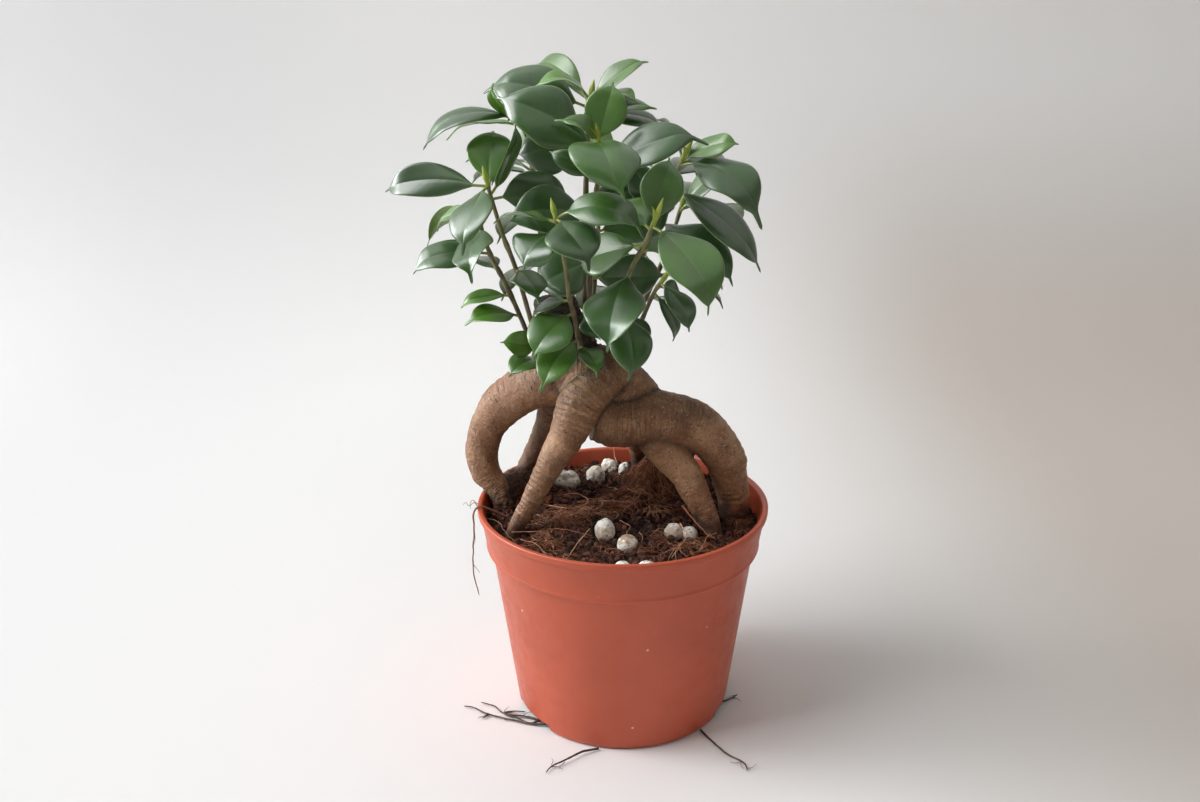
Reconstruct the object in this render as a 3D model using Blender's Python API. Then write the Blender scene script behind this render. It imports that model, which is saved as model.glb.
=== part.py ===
"""Ginseng ficus on stilt-like storage roots, in a tapered plastic nursery pot.

Lengths are written in millimetres and MM turns them into metres. +Z is up, -Y is the front,
and the origin is the middle of the pot's underside.
"""

import math
from collections import namedtuple

import bmesh
import bpy
from mathutils import Matrix, Vector, noise
from mathutils.bvhtree import BVHTree

MM = 0.001
GAP = 0.3

# Pot, a turned shell with a stepped rim band
POT_HEIGHT = 90.8
POT_BASE_RADIUS = 45.1
POT_STEP_RADIUS = 54.6
POT_STEP_HEIGHT = 72.6
POT_BAND_RADIUS = 56.5
POT_RIM_RADIUS = 60.0
POT_WALL = 1.3
POT_FLOOR = 1.6
POT_FOOT_BEVEL = 1.5
POT_FOOT_RISE = 1.2
POT_LEDGE_RISE = 1.0
POT_LIP_HEIGHT = 2.4
POT_LIP_OUT = 1.0
POT_LIP_BEVEL = 0.6
POT_SIDES = 48
NOTCH_BEARINGS = (212, 346, 99)
NOTCH_WIDTH = 26.0
NOTCH_HEIGHT = 3.6
NOTCH_INNER_RADIUS = 34.0

# Soil, with its mounds and hollows as x, y, height and spread
SOIL_LEVEL = 84.5
SOIL_SIDES = 36
SOIL_EDGE = 78.0
SOIL_WALL_GAP = 0.6
SOIL_RINGS = (1, 0.88, 0.74, 0.58, 0.4, 0.2, 0)
SOIL_MOUNDS = (
    (-50, 20, 4.5, 12),
    (15, 33, 9.0, 12),
    (12, 20, 2.5, 9),
    (-8, 0, 2.0, 22),
    (4, -50, -2.0, 10),
    (44, -22, -3.0, 16),
    (50, 8, -3.5, 14),
    (-38, -36, -1.5, 14),
)
SOIL_ROUGHNESS = 1.1

# Storage roots and trunk stub: points along each limb as x, y, z and radius
LIMBS = {
    "stub": [(-15, 0, 138, 9), (-19, 3, 150, 10.5), (-24, 5, 164, 9.2), (-27, 6, 176, 8.2)],
    "crown": [
        (-19, -2, 146, 10), (-11, -1, 146, 11.5), (-3, 2, 142, 11.4), (4, 5, 136, 9.8), (10, 6, 129, 8.4),
    ],
    "left arch": [
        (-14, 1, 145, 9.8), (-30, 3, 141, 10.2), (-40, 5, 137, 9.7), (-48, 7, 131, 9), (-55, 8, 121, 7.8),
        (-58.5, 9, 110, 7), (-57.4, 8, 100, 6.5), (-52, 6, 93, 4.6), (-49.8, 4, 86, 4), (-49, 3, 75, 3),
    ],
    "left mound": [(-50, 7, 90, 4.4), (-47, 15, 90, 6), (-43, 23, 89, 5.6), (-41.5, 27.5, 82, 4.6)],
    "front prop": [
        (-5, -4, 147, 9), (-15, -9, 139, 9.4), (-21.2, -14, 125.7, 7.5), (-29, -16.5, 112.5, 5.3),
        (-36.5, -18.5, 97.8, 4.1), (-43.2, -20.8, 86.5, 3.1), (-47, -22, 76, 2.2),
    ],
    "thin left prop": [
        (-21, 4, 142, 7.5), (-28, 12, 127, 6.4), (-34, 20, 110, 5.4), (-41, 26.5, 94, 4.8),
        (-41.5, 27.5, 84, 4.3), (-38, 25, 73, 3),
    ],
    "right arch": [
        (-11, -1, 129, 11), (-1, 0, 126.5, 12), (13, 0, 126.5, 11.5), (25, 0, 124.8, 10.6), (34, 0, 120, 9.6),
        (40.8, 1, 111, 8.4), (44.8, 2, 98, 7.3), (46.2, 3, 87, 6.6), (46.5, 4, 73, 5),
    ],
    "inner right prop": [
        (10, 0, 123, 9), (18.5, -3, 113, 7.8), (24.8, -6.5, 106, 6.6), (28.8, -9, 99.5, 6),
        (32.2, -11, 92, 5.3), (35.8, -13, 84.8, 4.2), (37.5, -14, 74, 3.2),
    ],
    "back prop": [(3, 3, 130, 8), (4, 17, 119, 5.4), (6, 32, 104, 4.2), (7.5, 44, 90, 3.5), (7, 48, 77, 3)],
}
LIMB_VOXEL = 2.1
LIMB_BLEND = 0.5
LIMB_BLEND_ROUNDS = 4
LIMB_TRIANGLES = 2300
LIMB_HOLE_GAP = 1.3
LIMB_HOLE_START = 96

# Leafy shoots: points along each stem as x, y and z
STEMS = {
    "shoot_left": [
        (-31, 0, 147), (-36, -3, 169), (-41, -6, 190), (-45, -9, 203), (-49, -10, 218), (-50, -11, 223),
    ],
    "shoot_left_low": [
        (-33, 5, 147), (-41, 6, 168), (-47, 7, 182), (-52, 8, 192), (-55, 7, 203), (-55, 5, 211),
    ],
    "shoot_front": [
        (-16, -7, 156), (-18, -10, 169), (-20, -16, 181), (-21, -22, 194), (-23, -28, 209), (-24, -29, 214),
    ],
    "shoot_front_right": [(-4, -5, 152), (-1, -10, 176), (3, -20, 192), (8, -26, 203), (11, -29, 211)],
    "shoot_top": [(-12, 1, 155), (-13, 2, 182), (-11, -1, 210), (-9, -6, 225), (-9, -12, 238)],
    "shoot_top_back": [(-15, 8, 155), (-15, 12, 190), (-14, 12, 225), (-13, 9, 246), (-12, 8, 252)],
    "shoot_top_left": [(-27, 9, 165), (-30, 14, 182), (-34, 17, 207), (-36, 13, 233), (-39, 7, 244)],
    "shoot_right": [(-5, 5, 150), (3, 11, 176), (12, 12, 202), (18, 8, 218), (23, 4, 230)],
    "shoot_right_low": [(1, 1, 149), (7, 0, 166), (12, 0, 178), (15, -1, 183)],
    "shoot_back_left": [(-23, 13, 160), (-29, 24, 180), (-34, 34, 202), (-37, 38, 224)],
    "shoot_back": [(-13, 12, 150), (-12, 26, 172), (-10, 36, 198), (-10, 40, 218)],
    "shoot_back_right": [(-4, 10, 148), (8, 22, 168), (18, 30, 188), (24, 34, 206)],
}
STEM_FOOT_RADIUS = 1.35
STEM_TOP_RADIUS = 0.9
BUD_LENGTH = 7.0
BUD_TIP_RADIUS = 0.35

# Leaves: how far up the stem, tip, width, the way the glossy side faces, and how far the rib arches
Leaf = namedtuple("Leaf", "up tip width face arch")
LEAVES = {
    "shoot_left": [
        Leaf(1.00, (-91.5, -4, 220), 14, (0, -7, 7), 0.06),
        Leaf(0.97, (-48, 6, 242), 18, (1, -9, 2), 0.05),
        Leaf(0.94, (-37, -3, 243), 13, (9, -3, 3), 0.05),
        Leaf(1.00, (-58, -34, 203), 18, (-3, -8, 5), 0.10),
        Leaf(0.92, (-20, 3, 218), 19, (0, -9, 5), 0.08),
        Leaf(0.55, (-31, -26, 184), 15, (1, -4, 9), 0.08),
        Leaf(0.15, (-46, -13, 163), 11, (-2, -9, 3), 0.08),
        Leaf(0.06, (-43, -19, 155), 13, (-3, -8, 4), 0.10),
    ],
    "shoot_left_low": [
        Leaf(0.86, (-57, -20, 191), 18, (-2, -6, 7), 0.12),
        Leaf(0.72, (-82, 0, 190), 16, (-1, -6, 8), 0.10),
        Leaf(1.00, (-74, 10, 204), 9, (-3, -4, 8), 0.10),
        Leaf(0.95, (-80, 14, 197), 11, (-4, 3, 8), 0.20),
        Leaf(0.45, (-64, 2, 174), 10, (0, -2, 9), 0.08),
        Leaf(0.32, (-61, -6, 169), 13, (0, -4, 9), 0.10),
        Leaf(0.60, (-66, 28, 186), 15, (-3, 4, 8), 0.10),
    ],
    "shoot_front": [
        Leaf(1.00, (8, -32, 211), 18, (1, -5, 9), 0.22),
        Leaf(0.98, (-10, -48, 201), 21, (1, -6, 8), 0.12),
        Leaf(0.96, (-46, -24, 214), 14, (0, 1, 10), 0.06),
        Leaf(0.90, (-36, -38, 198), 20, (-4, -6, 7), 0.12),
        Leaf(0.30, (-34, -27, 161), 19, (-2, -7, 7), 0.12),
        Leaf(0.40, (-36, -8, 172), 14, (-1, -6, 8), 0.08),
        Leaf(0.10, (-30, -32, 150), 15, (-3, -8, 5), 0.10),
        Leaf(0.05, (-9, -25, 157), 10, (2, -7, 6), 0.10),
    ],
    "shoot_front_right": [
        Leaf(1.00, (33, -50, 187), 23, (4, -7, 6), 0.12),
        Leaf(0.98, (18, -24, 234), 16, (1, -10, 1), 0.05),
        Leaf(0.96, (-3, -12, 215), 15, (0, -6, 8), 0.10),
        Leaf(0.86, (-17, -18, 194), 20, (0, -6, 8), 0.08),
        Leaf(0.66, (-5, -46, 171), 24, (-2, -8, 5), 0.08),
        Leaf(0.36, (4, -30, 154), 17, (3, -9, 3), 0.06),
        Leaf(0.30, (11, -8, 160), 10, (6, -6, 5), 0.08),
        Leaf(0.80, (26, -14, 200), 14, (5, -4, 8), 0.10),
    ],
    "shoot_top": [
        Leaf(1.00, (-3, -8, 259), 16, (-2, -10, 2), 0.04),
        Leaf(1.00, (-23, -20, 247), 9, (0, -6, 8), 0.20),
        Leaf(0.98, (-1, -43, 225), 26, (0, -6, 8), 0.20),
        Leaf(0.97, (-44, -22, 255), 23, (2, -8, 6), 0.06),
        Leaf(0.82, (29, -9, 242), 19, (1, -6, 8), 0.14),
        Leaf(0.82, (-27, -8, 234), 9, (-2, -7, 5), 0.14),
        Leaf(0.64, (-41, -6, 213), 20, (0, -9, 5), 0.08),
        Leaf(0.42, (-33, -12, 183), 25, (0, -8, 5), 0.06),
        Leaf(0.24, (-10, -20, 162), 13, (-4, -8, 3), 0.06),
        Leaf(0.55, (21, 4, 211), 18, (2, -9, 4), 0.06),
        Leaf(0.34, (18, 5, 184), 18, (2, -9, 4), 0.08),
    ],
    "shoot_top_back": [
        Leaf(1.00, (9, 12, 267), 11, (-1, -5, 8), 0.10),
        Leaf(0.99, (5, -2, 259), 12, (1, -3, 9), 0.10),
        Leaf(0.97, (-22, 31, 258), 15, (2, 6, 6), 0.06),
        Leaf(1.00, (-32, 0, 258), 11, (0, -3, 9), 0.22),
        Leaf(0.99, (-35, 33, 265), 11, (-1, -2, 9), 0.14),
        Leaf(0.96, (-52, 13, 258), 23, (0, -8, 6), 0.08),
        Leaf(0.92, (17, 8, 241), 14, (2, -4, 8), 0.12),
        Leaf(0.84, (-40, 10, 231), 20, (0, -9, 4), 0.06),
        Leaf(0.86, (6, 38, 244), 17, (2, 5, 8), 0.12),
        Leaf(0.60, (10, 18, 216), 17, (2, -9, 5), 0.08),
        Leaf(0.44, (-34, 16, 198), 19, (-1, -9, 5), 0.08),
        Leaf(0.30, (8, 14, 186), 17, (2, -9, 4), 0.08),
        Leaf(0.92, (12, 2, 250), 13, (2, -8, 6), 0.08),
    ],
    "shoot_top_left": [
        Leaf(1.00, (-75, -2, 237), 15, (-1, -5, 8), 0.21),
        Leaf(0.98, (-49, -4, 257), 9, (-4, -6, 3), 0.04),
        Leaf(0.96, (-68, 14, 239), 10, (0, -3, 9), 0.10),
        Leaf(0.94, (-46, 38, 244), 16, (-2, 5, 8), 0.12),
        Leaf(0.70, (-62, 34, 218), 16, (-4, 4, 8), 0.12),
    ],
    "shoot_right": [
        Leaf(1.00, (42, -4, 237), 13, (1, -5, 8), 0.06),
        Leaf(0.99, (15, 20, 244), 12, (1, 3, 9), 0.08),
        Leaf(0.97, (42, 18, 228), 15, (2, -5, 8), 0.08),
        Leaf(0.96, (52.5, -13, 209), 21, (3, -6, 7), 0.26),
        Leaf(0.84, (54, -6, 190), 20, (4, -6, 7), 0.12),
        Leaf(0.66, (43.5, -14, 188), 20, (3, -6, 7), 0.14),
        Leaf(0.75, (3, 0, 228), 13, (-2, -8, 6), 0.08),
        Leaf(0.88, (30, 36, 222), 17, (4, 5, 8), 0.14),
        Leaf(0.55, (39, 27, 186), 16, (5, 3, 8), 0.12),
    ],
    "shoot_right_low": [
        Leaf(1.00, (26, -14, 168), 13, (4, -7, 6), 0.10),
        Leaf(0.86, (22, -4, 161), 9, (6, -6, 5), 0.08),
        Leaf(0.94, (24, 14, 172), 12, (3, -4, 8), 0.12),
    ],
    "shoot_back_left": [
        Leaf(1.00, (-58, 62, 214), 18, (-4, 6, 7), 0.14),
        Leaf(0.97, (-24, 62, 226), 18, (2, 6, 7), 0.12),
        Leaf(0.94, (-62, 26, 226), 16, (-5, 0, 8), 0.10),
        Leaf(0.72, (-54, 58, 190), 18, (-4, 7, 6), 0.12),
        Leaf(0.60, (-20, 58, 186), 17, (3, 7, 6), 0.12),
        Leaf(0.42, (-52, 42, 168), 17, (-5, 5, 7), 0.10),
        Leaf(1.00, (-36, 50, 246), 14, (0, 8, 3), 0.06),
    ],
    "shoot_back": [
        Leaf(1.00, (-4, 68, 206), 19, (1, 6, 8), 0.14),
        Leaf(0.97, (14, 52, 222), 17, (4, 3, 8), 0.12),
        Leaf(0.95, (-14, 56, 244), 15, (-1, 8, 4), 0.06),
        Leaf(0.70, (-26, 66, 178), 18, (-3, 7, 6), 0.12),
        Leaf(0.62, (10, 64, 182), 18, (3, 7, 6), 0.12),
        Leaf(0.40, (-14, 52, 156), 17, (-1, 8, 5), 0.10),
        Leaf(0.30, (6, 42, 156), 15, (4, 7, 5), 0.10),
    ],
    "shoot_back_right": [
        Leaf(1.00, (52, 46, 198), 19, (5, 3, 8), 0.14),
        Leaf(0.98, (28, 64, 212), 18, (2, 7, 7), 0.12),
        Leaf(0.96, (46, 30, 230), 15, (4, -4, 7), 0.08),
        Leaf(0.70, (44, 52, 172), 18, (5, 5, 7), 0.12),
        Leaf(0.58, (42, 12, 172), 16, (5, 0, 8), 0.10),
        Leaf(0.40, (26, 48, 160), 16, (4, 7, 5), 0.10),
    ],
}
LEAF_THICKNESS = 0.7
LEAF_STATIONS = (0, 0.13, 0.31, 0.58, 0.83, 1)
STALK_SHARE = 0.13
STALK_WIDTH = 1.1
LEAF_WIDEST_LATE = 1.08
LEAF_BLUNTNESS = 0.72
LEAF_FOLD = math.radians(13)
LEAF_HOOK = 0.05
LEAF_HOOK_START = 0.75
CLEAR_THICKNESS = 2.0

# Small moves that bend a leaf clear of its neighbours: tip forward, tip up, and roll in degrees
NUDGES = [(0, 0, 0)] + sorted(
    (
        (forward, up, roll)
        for forward in (0, -4, 4, -8, 8, -12, 12)
        for up in (0, -3, 3, -6, 6)
        for roll in (0, -14, 14, -28, 28)
        if (forward, up, roll) != (0, 0, 0)
    ),
    key=lambda move: abs(move[0]) / 2 + abs(move[1]) + abs(move[2]) / 7,
)

# White perlite lumps: x, y, half width, half depth and half height
PERLITE = [
    (-25, 30, 6.2, 4.6, 4.6), (-12, 36, 4.2, 4.2, 4.4), (-6, 47, 3.4, 3.6, 3.9), (1, 40.5, 2.6, 3.2, 3.8),
    (-7, -22.5, 4.1, 4.6, 5.0), (2, -31.5, 4.1, 4.1, 3.9), (19.8, -21, 3.3, 3.4, 3.5),
    (26.9, -20.3, 3.1, 3.1, 3.3), (0, -48.5, 3.3, 3.2, 3.2), (9.5, -49, 3.8, 3.3, 3.2),
]
PERLITE_SUNK = 0.35
PERLITE_UNEVENNESS = 0.1
PERLITE_DENT_GAP = 0.9

# Fine roots out of the drain notches and over the rim: x, y and z
FINE_ROOT_RADIUS = 0.5
FINE_ROOT_TAPER = 0.35
FINE_ROOTS = {
    "drain_root_left": [
        [
            (-27, -25, 1.0), (-32, -29, 0.9), (-40, -28, 0.8), (-49, -25, 0.8), (-58, -21, 0.8),
            (-64, -17, 0.9), (-68, -16, 0.8),
        ],
        [
            (-27, -25, 1.0), (-34, -26, 0.9), (-42, -23, 0.8), (-50, -21, 0.8), (-55, -16, 0.9),
            (-61, -13, 0.8),
        ],
        [
            (-34, -26, 0.9), (-39, -28, 0.8), (-45, -24, 0.8), (-50, -21, 0.8), (-47, -19.5, 0.8),
            (-41, -20, 0.8),
        ],
        [(-57, -21.5, 0.8), (-59, -25, 0.8)],
    ],
    "drain_root_front": [
        [(-9.7, -45.2, 0.8), (-17, -49, 1.6), (-23, -54, 1.6), (-28, -57, 1.0), (-30, -61, 0.8)],
    ],
    "drain_root_right": [
        [
            (32.3, -32.1, 0.8), (36, -39, 0.8), (41, -47, 0.8), (46, -52, 0.8), (48.6, -55, 0.8),
            (49, -59, 0.8),
        ],
    ],
    "drain_root_back": [[(38, -10, 1.0), (43, -11.5, 0.9), (47, -9, 0.8), (50, -6, 0.8)]],
    "rim_root": [
        [
            (-47, -8, 85.9), (-53, -9, 89.6), (-58.2, -9.8, 91.7), (-60.9, -10, 88.5), (-61.2, -9, 80),
            (-62.4, -6, 67), (-62.8, -4, 58), (-61, -3, 47),
        ],
    ],
}

COLORS = {
    "pot": ((0.62, 0.16, 0.075), 0.42),
    "soil": ((0.035, 0.018, 0.011), 0.95),
    "root": ((0.27, 0.165, 0.09), 0.7),
    "leaf": ((0.03, 0.115, 0.03), 0.32),
    "perlite": ((0.72, 0.70, 0.64), 0.85),
    "fine_root": ((0.055, 0.03, 0.02), 0.8),
}


def clear_scene():
    for obj in list(bpy.data.objects):
        bpy.data.objects.remove(obj, do_unlink=True)


def material(name):
    """A plain Principled material, made once for each finish."""
    found = bpy.data.materials.get(name)
    if found:
        return found
    made = bpy.data.materials.new(name)
    made.use_nodes = True
    color, roughness = COLORS[name]
    shader = made.node_tree.nodes["Principled BSDF"]
    shader.inputs["Base Color"].default_value = (*color, 1)
    shader.inputs["Roughness"].default_value = roughness
    shader.inputs["Metallic"].default_value = 0
    made.diffuse_color = (*color, 1)
    return made


def add_object(name, mesh, finish):
    """Puts a finished mesh in the scene as one sub-part."""
    obj = bpy.data.objects.new(name, mesh)
    bpy.context.scene.collection.objects.link(obj)
    mesh.materials.clear()
    mesh.materials.append(material(finish))
    return obj


def mesh_of(name, bm):
    mesh = bpy.data.meshes.new(name)
    bm.to_mesh(mesh)
    bm.free()
    return mesh


def apply_modifiers(obj):
    """Makes what the modifiers show the object's own mesh."""
    graph = bpy.context.evaluated_depsgraph_get()
    mesh = bpy.data.meshes.new_from_object(obj.evaluated_get(graph))
    obj.modifiers.clear()
    old = obj.data
    obj.data = mesh
    bpy.data.meshes.remove(old)


def combine(obj, tools, operation, solver="EXACT"):
    """Cuts the tools from the object, or joins them to it, in one Boolean, and removes them."""
    group = bpy.data.collections.new(obj.name + "_tools")
    bpy.context.scene.collection.children.link(group)
    for tool in tools:
        bpy.context.scene.collection.objects.unlink(tool)
        group.objects.link(tool)
    boolean = obj.modifiers.new("combine", "BOOLEAN")
    boolean.operation = operation
    boolean.operand_type = "COLLECTION"
    boolean.collection = group
    boolean.solver = solver
    apply_modifiers(obj)
    for tool in tools:
        bpy.data.objects.remove(tool, do_unlink=True)
    bpy.data.collections.remove(group)


def smooth_path(points, steps):
    """Points on one smooth curve through the given ones, with steps of them to each stretch."""
    points = [Vector(point) for point in points]
    ends = [points[0] * 2 - points[1], *points, points[-1] * 2 - points[-2]]
    path = []
    for before, start, end, after in zip(ends, ends[1:], ends[2:], ends[3:]):
        for step in range(steps):
            t = step / steps
            curve = start * 2 + (end - before) * t
            curve += (before * 2 - start * 5 + end * 4 - after) * t ** 2
            curve += (start * 3 - before - end * 3 + after) * t ** 3
            path.append(curve / 2)
    path.append(points[-1])
    return path


def tube(name, path, radii, rounding):
    """A closed round tube along the path, as thick at each point as its radius says."""
    curve = bpy.data.curves.new(name, "CURVE")
    curve.dimensions = "3D"
    curve.bevel_depth = MM
    curve.bevel_resolution = rounding
    curve.use_fill_caps = True
    spline = curve.splines.new("POLY")
    spline.points.add(len(path) - 1)
    for point, place, radius in zip(spline.points, path, radii):
        point.co = (*(place * MM), 1)
        point.radius = radius
    drawn = bpy.data.objects.new(name, curve)
    bpy.context.scene.collection.objects.link(drawn)
    graph = bpy.context.evaluated_depsgraph_get()
    mesh = bpy.data.meshes.new_from_object(drawn.evaluated_get(graph))
    bpy.data.objects.remove(drawn, do_unlink=True)
    bpy.data.curves.remove(curve)
    bm = bmesh.new()
    bm.from_mesh(mesh)
    bpy.data.meshes.remove(mesh)
    bmesh.ops.remove_doubles(bm, verts=bm.verts[:], dist=1e-6)
    bmesh.ops.recalc_face_normals(bm, faces=bm.faces[:])
    return mesh_of(name, bm)


def limb_path(points, steps=3):
    """The smooth run of a limb and its radii."""
    path = smooth_path([Vector(point) for point in points], steps)
    return [point.to_3d() for point in path], [point.w for point in path]


def stem_path(name):
    """The smooth run of a stem up to its last leaf."""
    return smooth_path(STEMS[name], 2)


def stem_run(name, extra=0.0, below=0.0):
    """The stem with its bud: the path and the radii, thicker or longer at the foot when asked."""
    path = stem_path(name)
    bud = path[-1] + (path[-1] - path[-2]).normalized() * BUD_LENGTH
    last = len(path) - 1
    thinner = (STEM_FOOT_RADIUS - STEM_TOP_RADIUS) / last
    radii = [STEM_FOOT_RADIUS - thinner * i + extra for i in range(last + 1)]
    if below:
        path[0] = path[0] + (path[0] - path[1]).normalized() * below
    return path + [bud], radii + [BUD_TIP_RADIUS + extra]


def point_up(path, share):
    """The point at a share of the path's length, kept a little short of its end."""
    lengths = [(b - a).length for a, b in zip(path, path[1:])]
    left = min(share, 0.985) * sum(lengths)
    for start, end, length in zip(path, path[1:], lengths):
        if left <= length:
            return start.lerp(end, left / length)
        left -= length
    return path[-1]


def half_width(t, width):
    """Half the leaf's width at a share of its length: a thin stalk, then a blade widest past its middle."""
    if t <= STALK_SHARE:
        return STALK_WIDTH / 2
    along_blade = (t - STALK_SHARE) / (1 - STALK_SHARE)
    swell = max(0.0, math.sin(math.pi * along_blade ** LEAF_WIDEST_LATE)) ** LEAF_BLUNTNESS
    return max(STALK_WIDTH / 2.6, width / 2 * swell)


def leaf_shell(base, leaf, move, thickness, first=0):
    """One leaf as a closed thin shell: a flat grid bent along an arched rib and folded at it."""
    forward, up, roll = move
    tip = Vector(leaf.tip) + Vector((0, forward, up))
    chord = tip - base
    length = chord.length
    along = chord / length
    normal = Matrix.Rotation(math.radians(roll), 3, along) @ Vector(leaf.face)
    normal = (normal - along * normal.dot(along)).normalized()
    side = along.cross(normal)
    stations = LEAF_STATIONS[first:]
    rows = len(stations) - 1
    bm = bmesh.new()
    bmesh.ops.create_grid(bm, x_segments=rows, y_segments=2, size=1)
    for vert in bm.verts:
        t = stations[round((vert.co.x + 1) / 2 * rows)]
        across = vert.co.y
        hooked = max(0.0, (t - LEAF_HOOK_START) / (1 - LEAF_HOOK_START))
        rise = (4 * leaf.arch * t * (1 - t) - LEAF_HOOK * hooked ** 2) * length
        slope = 4 * leaf.arch * (1 - 2 * t) - LEAF_HOOK * hooked * 8
        raised = (normal - along * slope).normalized()
        half = half_width(t, leaf.width)
        place = base + chord * t + normal * rise
        place += side * across * half * math.cos(LEAF_FOLD)
        place += raised * (abs(across) * half * math.sin(LEAF_FOLD) + thickness / 2)
        vert.co = place * MM
    bmesh.ops.triangulate(bm, faces=bm.faces[:])
    bmesh.ops.recalc_face_normals(bm, faces=bm.faces[:])
    top = sum((face.normal for face in bm.faces), Vector())
    if top.dot(normal) < 0:
        bmesh.ops.reverse_faces(bm, faces=bm.faces[:])
    bmesh.ops.solidify(bm, geom=bm.faces[:], thickness=thickness * MM)
    bmesh.ops.recalc_face_normals(bm, faces=bm.faces[:])
    return bm


def surface(bm):
    """A search tree over a shell, which is freed."""
    tree = BVHTree.FromBMesh(bm)
    bm.free()
    return tree


def tube_surface(path, radii):
    mesh = tube("search", path, radii, 1)
    bm = bmesh.new()
    bm.from_mesh(mesh)
    bpy.data.meshes.remove(mesh)
    return surface(bm)


def settle_leaves():
    """Gives each leaf the smallest move that keeps it clear of limbs, stems and the leaves before it."""
    limbs = [tube_surface(*limb_path(points)) for points in LIMBS.values()]
    stems = {name: tube_surface(*stem_run(name, GAP)) for name in STEMS}
    placed = []
    moves = {}
    for shoot, leaves in LEAVES.items():
        path = stem_path(shoot)
        for number, leaf in enumerate(leaves):
            base = point_up(path, leaf.up)
            best = None
            for move in NUDGES:
                whole = surface(leaf_shell(base, leaf, move, CLEAR_THICKNESS))
                blade = surface(leaf_shell(base, leaf, move, CLEAR_THICKNESS, first=2))
                hits = [other for other in limbs if whole.overlap(other)]
                hits += [
                    other for name, other in stems.items()
                    if (blade if name == shoot else whole).overlap(other)
                ]
                hits += [
                    name for name, other_shoot, other_whole, other_blade in placed
                    if (blade.overlap(other_blade) if other_shoot == shoot else whole.overlap(other_whole))
                ]
                if best is None or len(hits) < best[0]:
                    best = (len(hits), move, whole, blade, hits)
                if not hits:
                    break
            name = f"{shoot} {number}"
            moves[shoot, number] = best[1]
            placed.append((name, shoot, best[2], best[3]))
            if best[0]:
                print("still meets", name, [hit for hit in best[4] if isinstance(hit, str)])
    return moves


def turned(profile, sides):
    """A body turned about the upright axis from its profile, given as radius and height."""
    bm = bmesh.new()
    verts = [bm.verts.new((radius * MM, 0, height * MM)) for radius, height in profile]
    edges = [bm.edges.new(pair) for pair in zip(verts, verts[1:])]
    bmesh.ops.spin(
        bm, geom=verts + edges, axis=(0, 0, 1), cent=(0, 0, 0), angle=math.tau, steps=sides, use_merge=True,
    )
    bmesh.ops.remove_doubles(bm, verts=bm.verts[:], dist=1e-6)
    return bm


def build_pot():
    """The turned shell, with its drain notches cut through the wall and the floor's edge."""
    lip = POT_HEIGHT - POT_LIP_HEIGHT
    outer = [
        (0, 0), (POT_BASE_RADIUS - POT_FOOT_BEVEL, 0), (POT_BASE_RADIUS, POT_FOOT_RISE),
        (POT_STEP_RADIUS, POT_STEP_HEIGHT), (POT_BAND_RADIUS, POT_STEP_HEIGHT + POT_LEDGE_RISE),
        (POT_RIM_RADIUS - POT_LIP_OUT, lip - POT_LIP_BEVEL), (POT_RIM_RADIUS, lip),
        (POT_RIM_RADIUS, POT_HEIGHT - POT_LIP_BEVEL), (POT_RIM_RADIUS - POT_LIP_BEVEL, POT_HEIGHT),
    ]
    mouth = POT_RIM_RADIUS - POT_WALL - POT_LIP_BEVEL
    inner = [(mouth, POT_HEIGHT), *reversed(pot_inside()), (0, POT_FLOOR)]
    bm = turned(outer + inner, POT_SIDES)
    bmesh.ops.recalc_face_normals(bm, faces=bm.faces[:])
    pot = add_object("pot", mesh_of("pot", bm), "pot")
    cutters = []
    for bearing in NOTCH_BEARINGS:
        bm = bmesh.new()
        bmesh.ops.create_cube(bm, size=1)
        radial = POT_BASE_RADIUS + 5 - NOTCH_INNER_RADIUS
        bmesh.ops.scale(bm, vec=(radial * MM, NOTCH_WIDTH * MM, 2 * NOTCH_HEIGHT * MM), verts=bm.verts[:])
        bmesh.ops.translate(bm, vec=((NOTCH_INNER_RADIUS + radial / 2) * MM, 0, 0), verts=bm.verts[:])
        bmesh.ops.rotate(bm, matrix=Matrix.Rotation(math.radians(bearing), 3, "Z"), verts=bm.verts[:])
        cutters.append(add_object("notch_cutter", mesh_of("notch_cutter", bm), "pot"))
    combine(pot, cutters, "DIFFERENCE")
    pot.data.shade_smooth()
    pot.data.set_sharp_from_angle(angle=math.radians(35))


def pot_inside():
    """The inner wall from the floor up, as radius and height."""
    return [
        (POT_BASE_RADIUS - POT_WALL, POT_FLOOR), (POT_STEP_RADIUS - POT_WALL, POT_STEP_HEIGHT - 0.4),
        (POT_BAND_RADIUS - POT_WALL, POT_STEP_HEIGHT + 1.6),
        (POT_RIM_RADIUS - POT_WALL - 1.2, POT_HEIGHT - 1),
    ]


def inner_radius(height):
    """The pot's inner radius at a height."""
    inside = pot_inside()
    for (low_radius, low), (high_radius, high) in zip(inside, inside[1:]):
        if height <= high:
            return low_radius + (high_radius - low_radius) * (height - low) / (high - low)
    return inside[-1][0]


def soil_height(x, y):
    """The soil's surface, from its level and its mounds, with a fine unevenness."""
    height = SOIL_LEVEL
    for mound_x, mound_y, rise, spread in SOIL_MOUNDS:
        height += rise * math.exp(-((x - mound_x) ** 2 + (y - mound_y) ** 2) / spread ** 2)
    return height + SOIL_ROUGHNESS * noise.noise(Vector((x, y, 0)) / 9)


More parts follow.
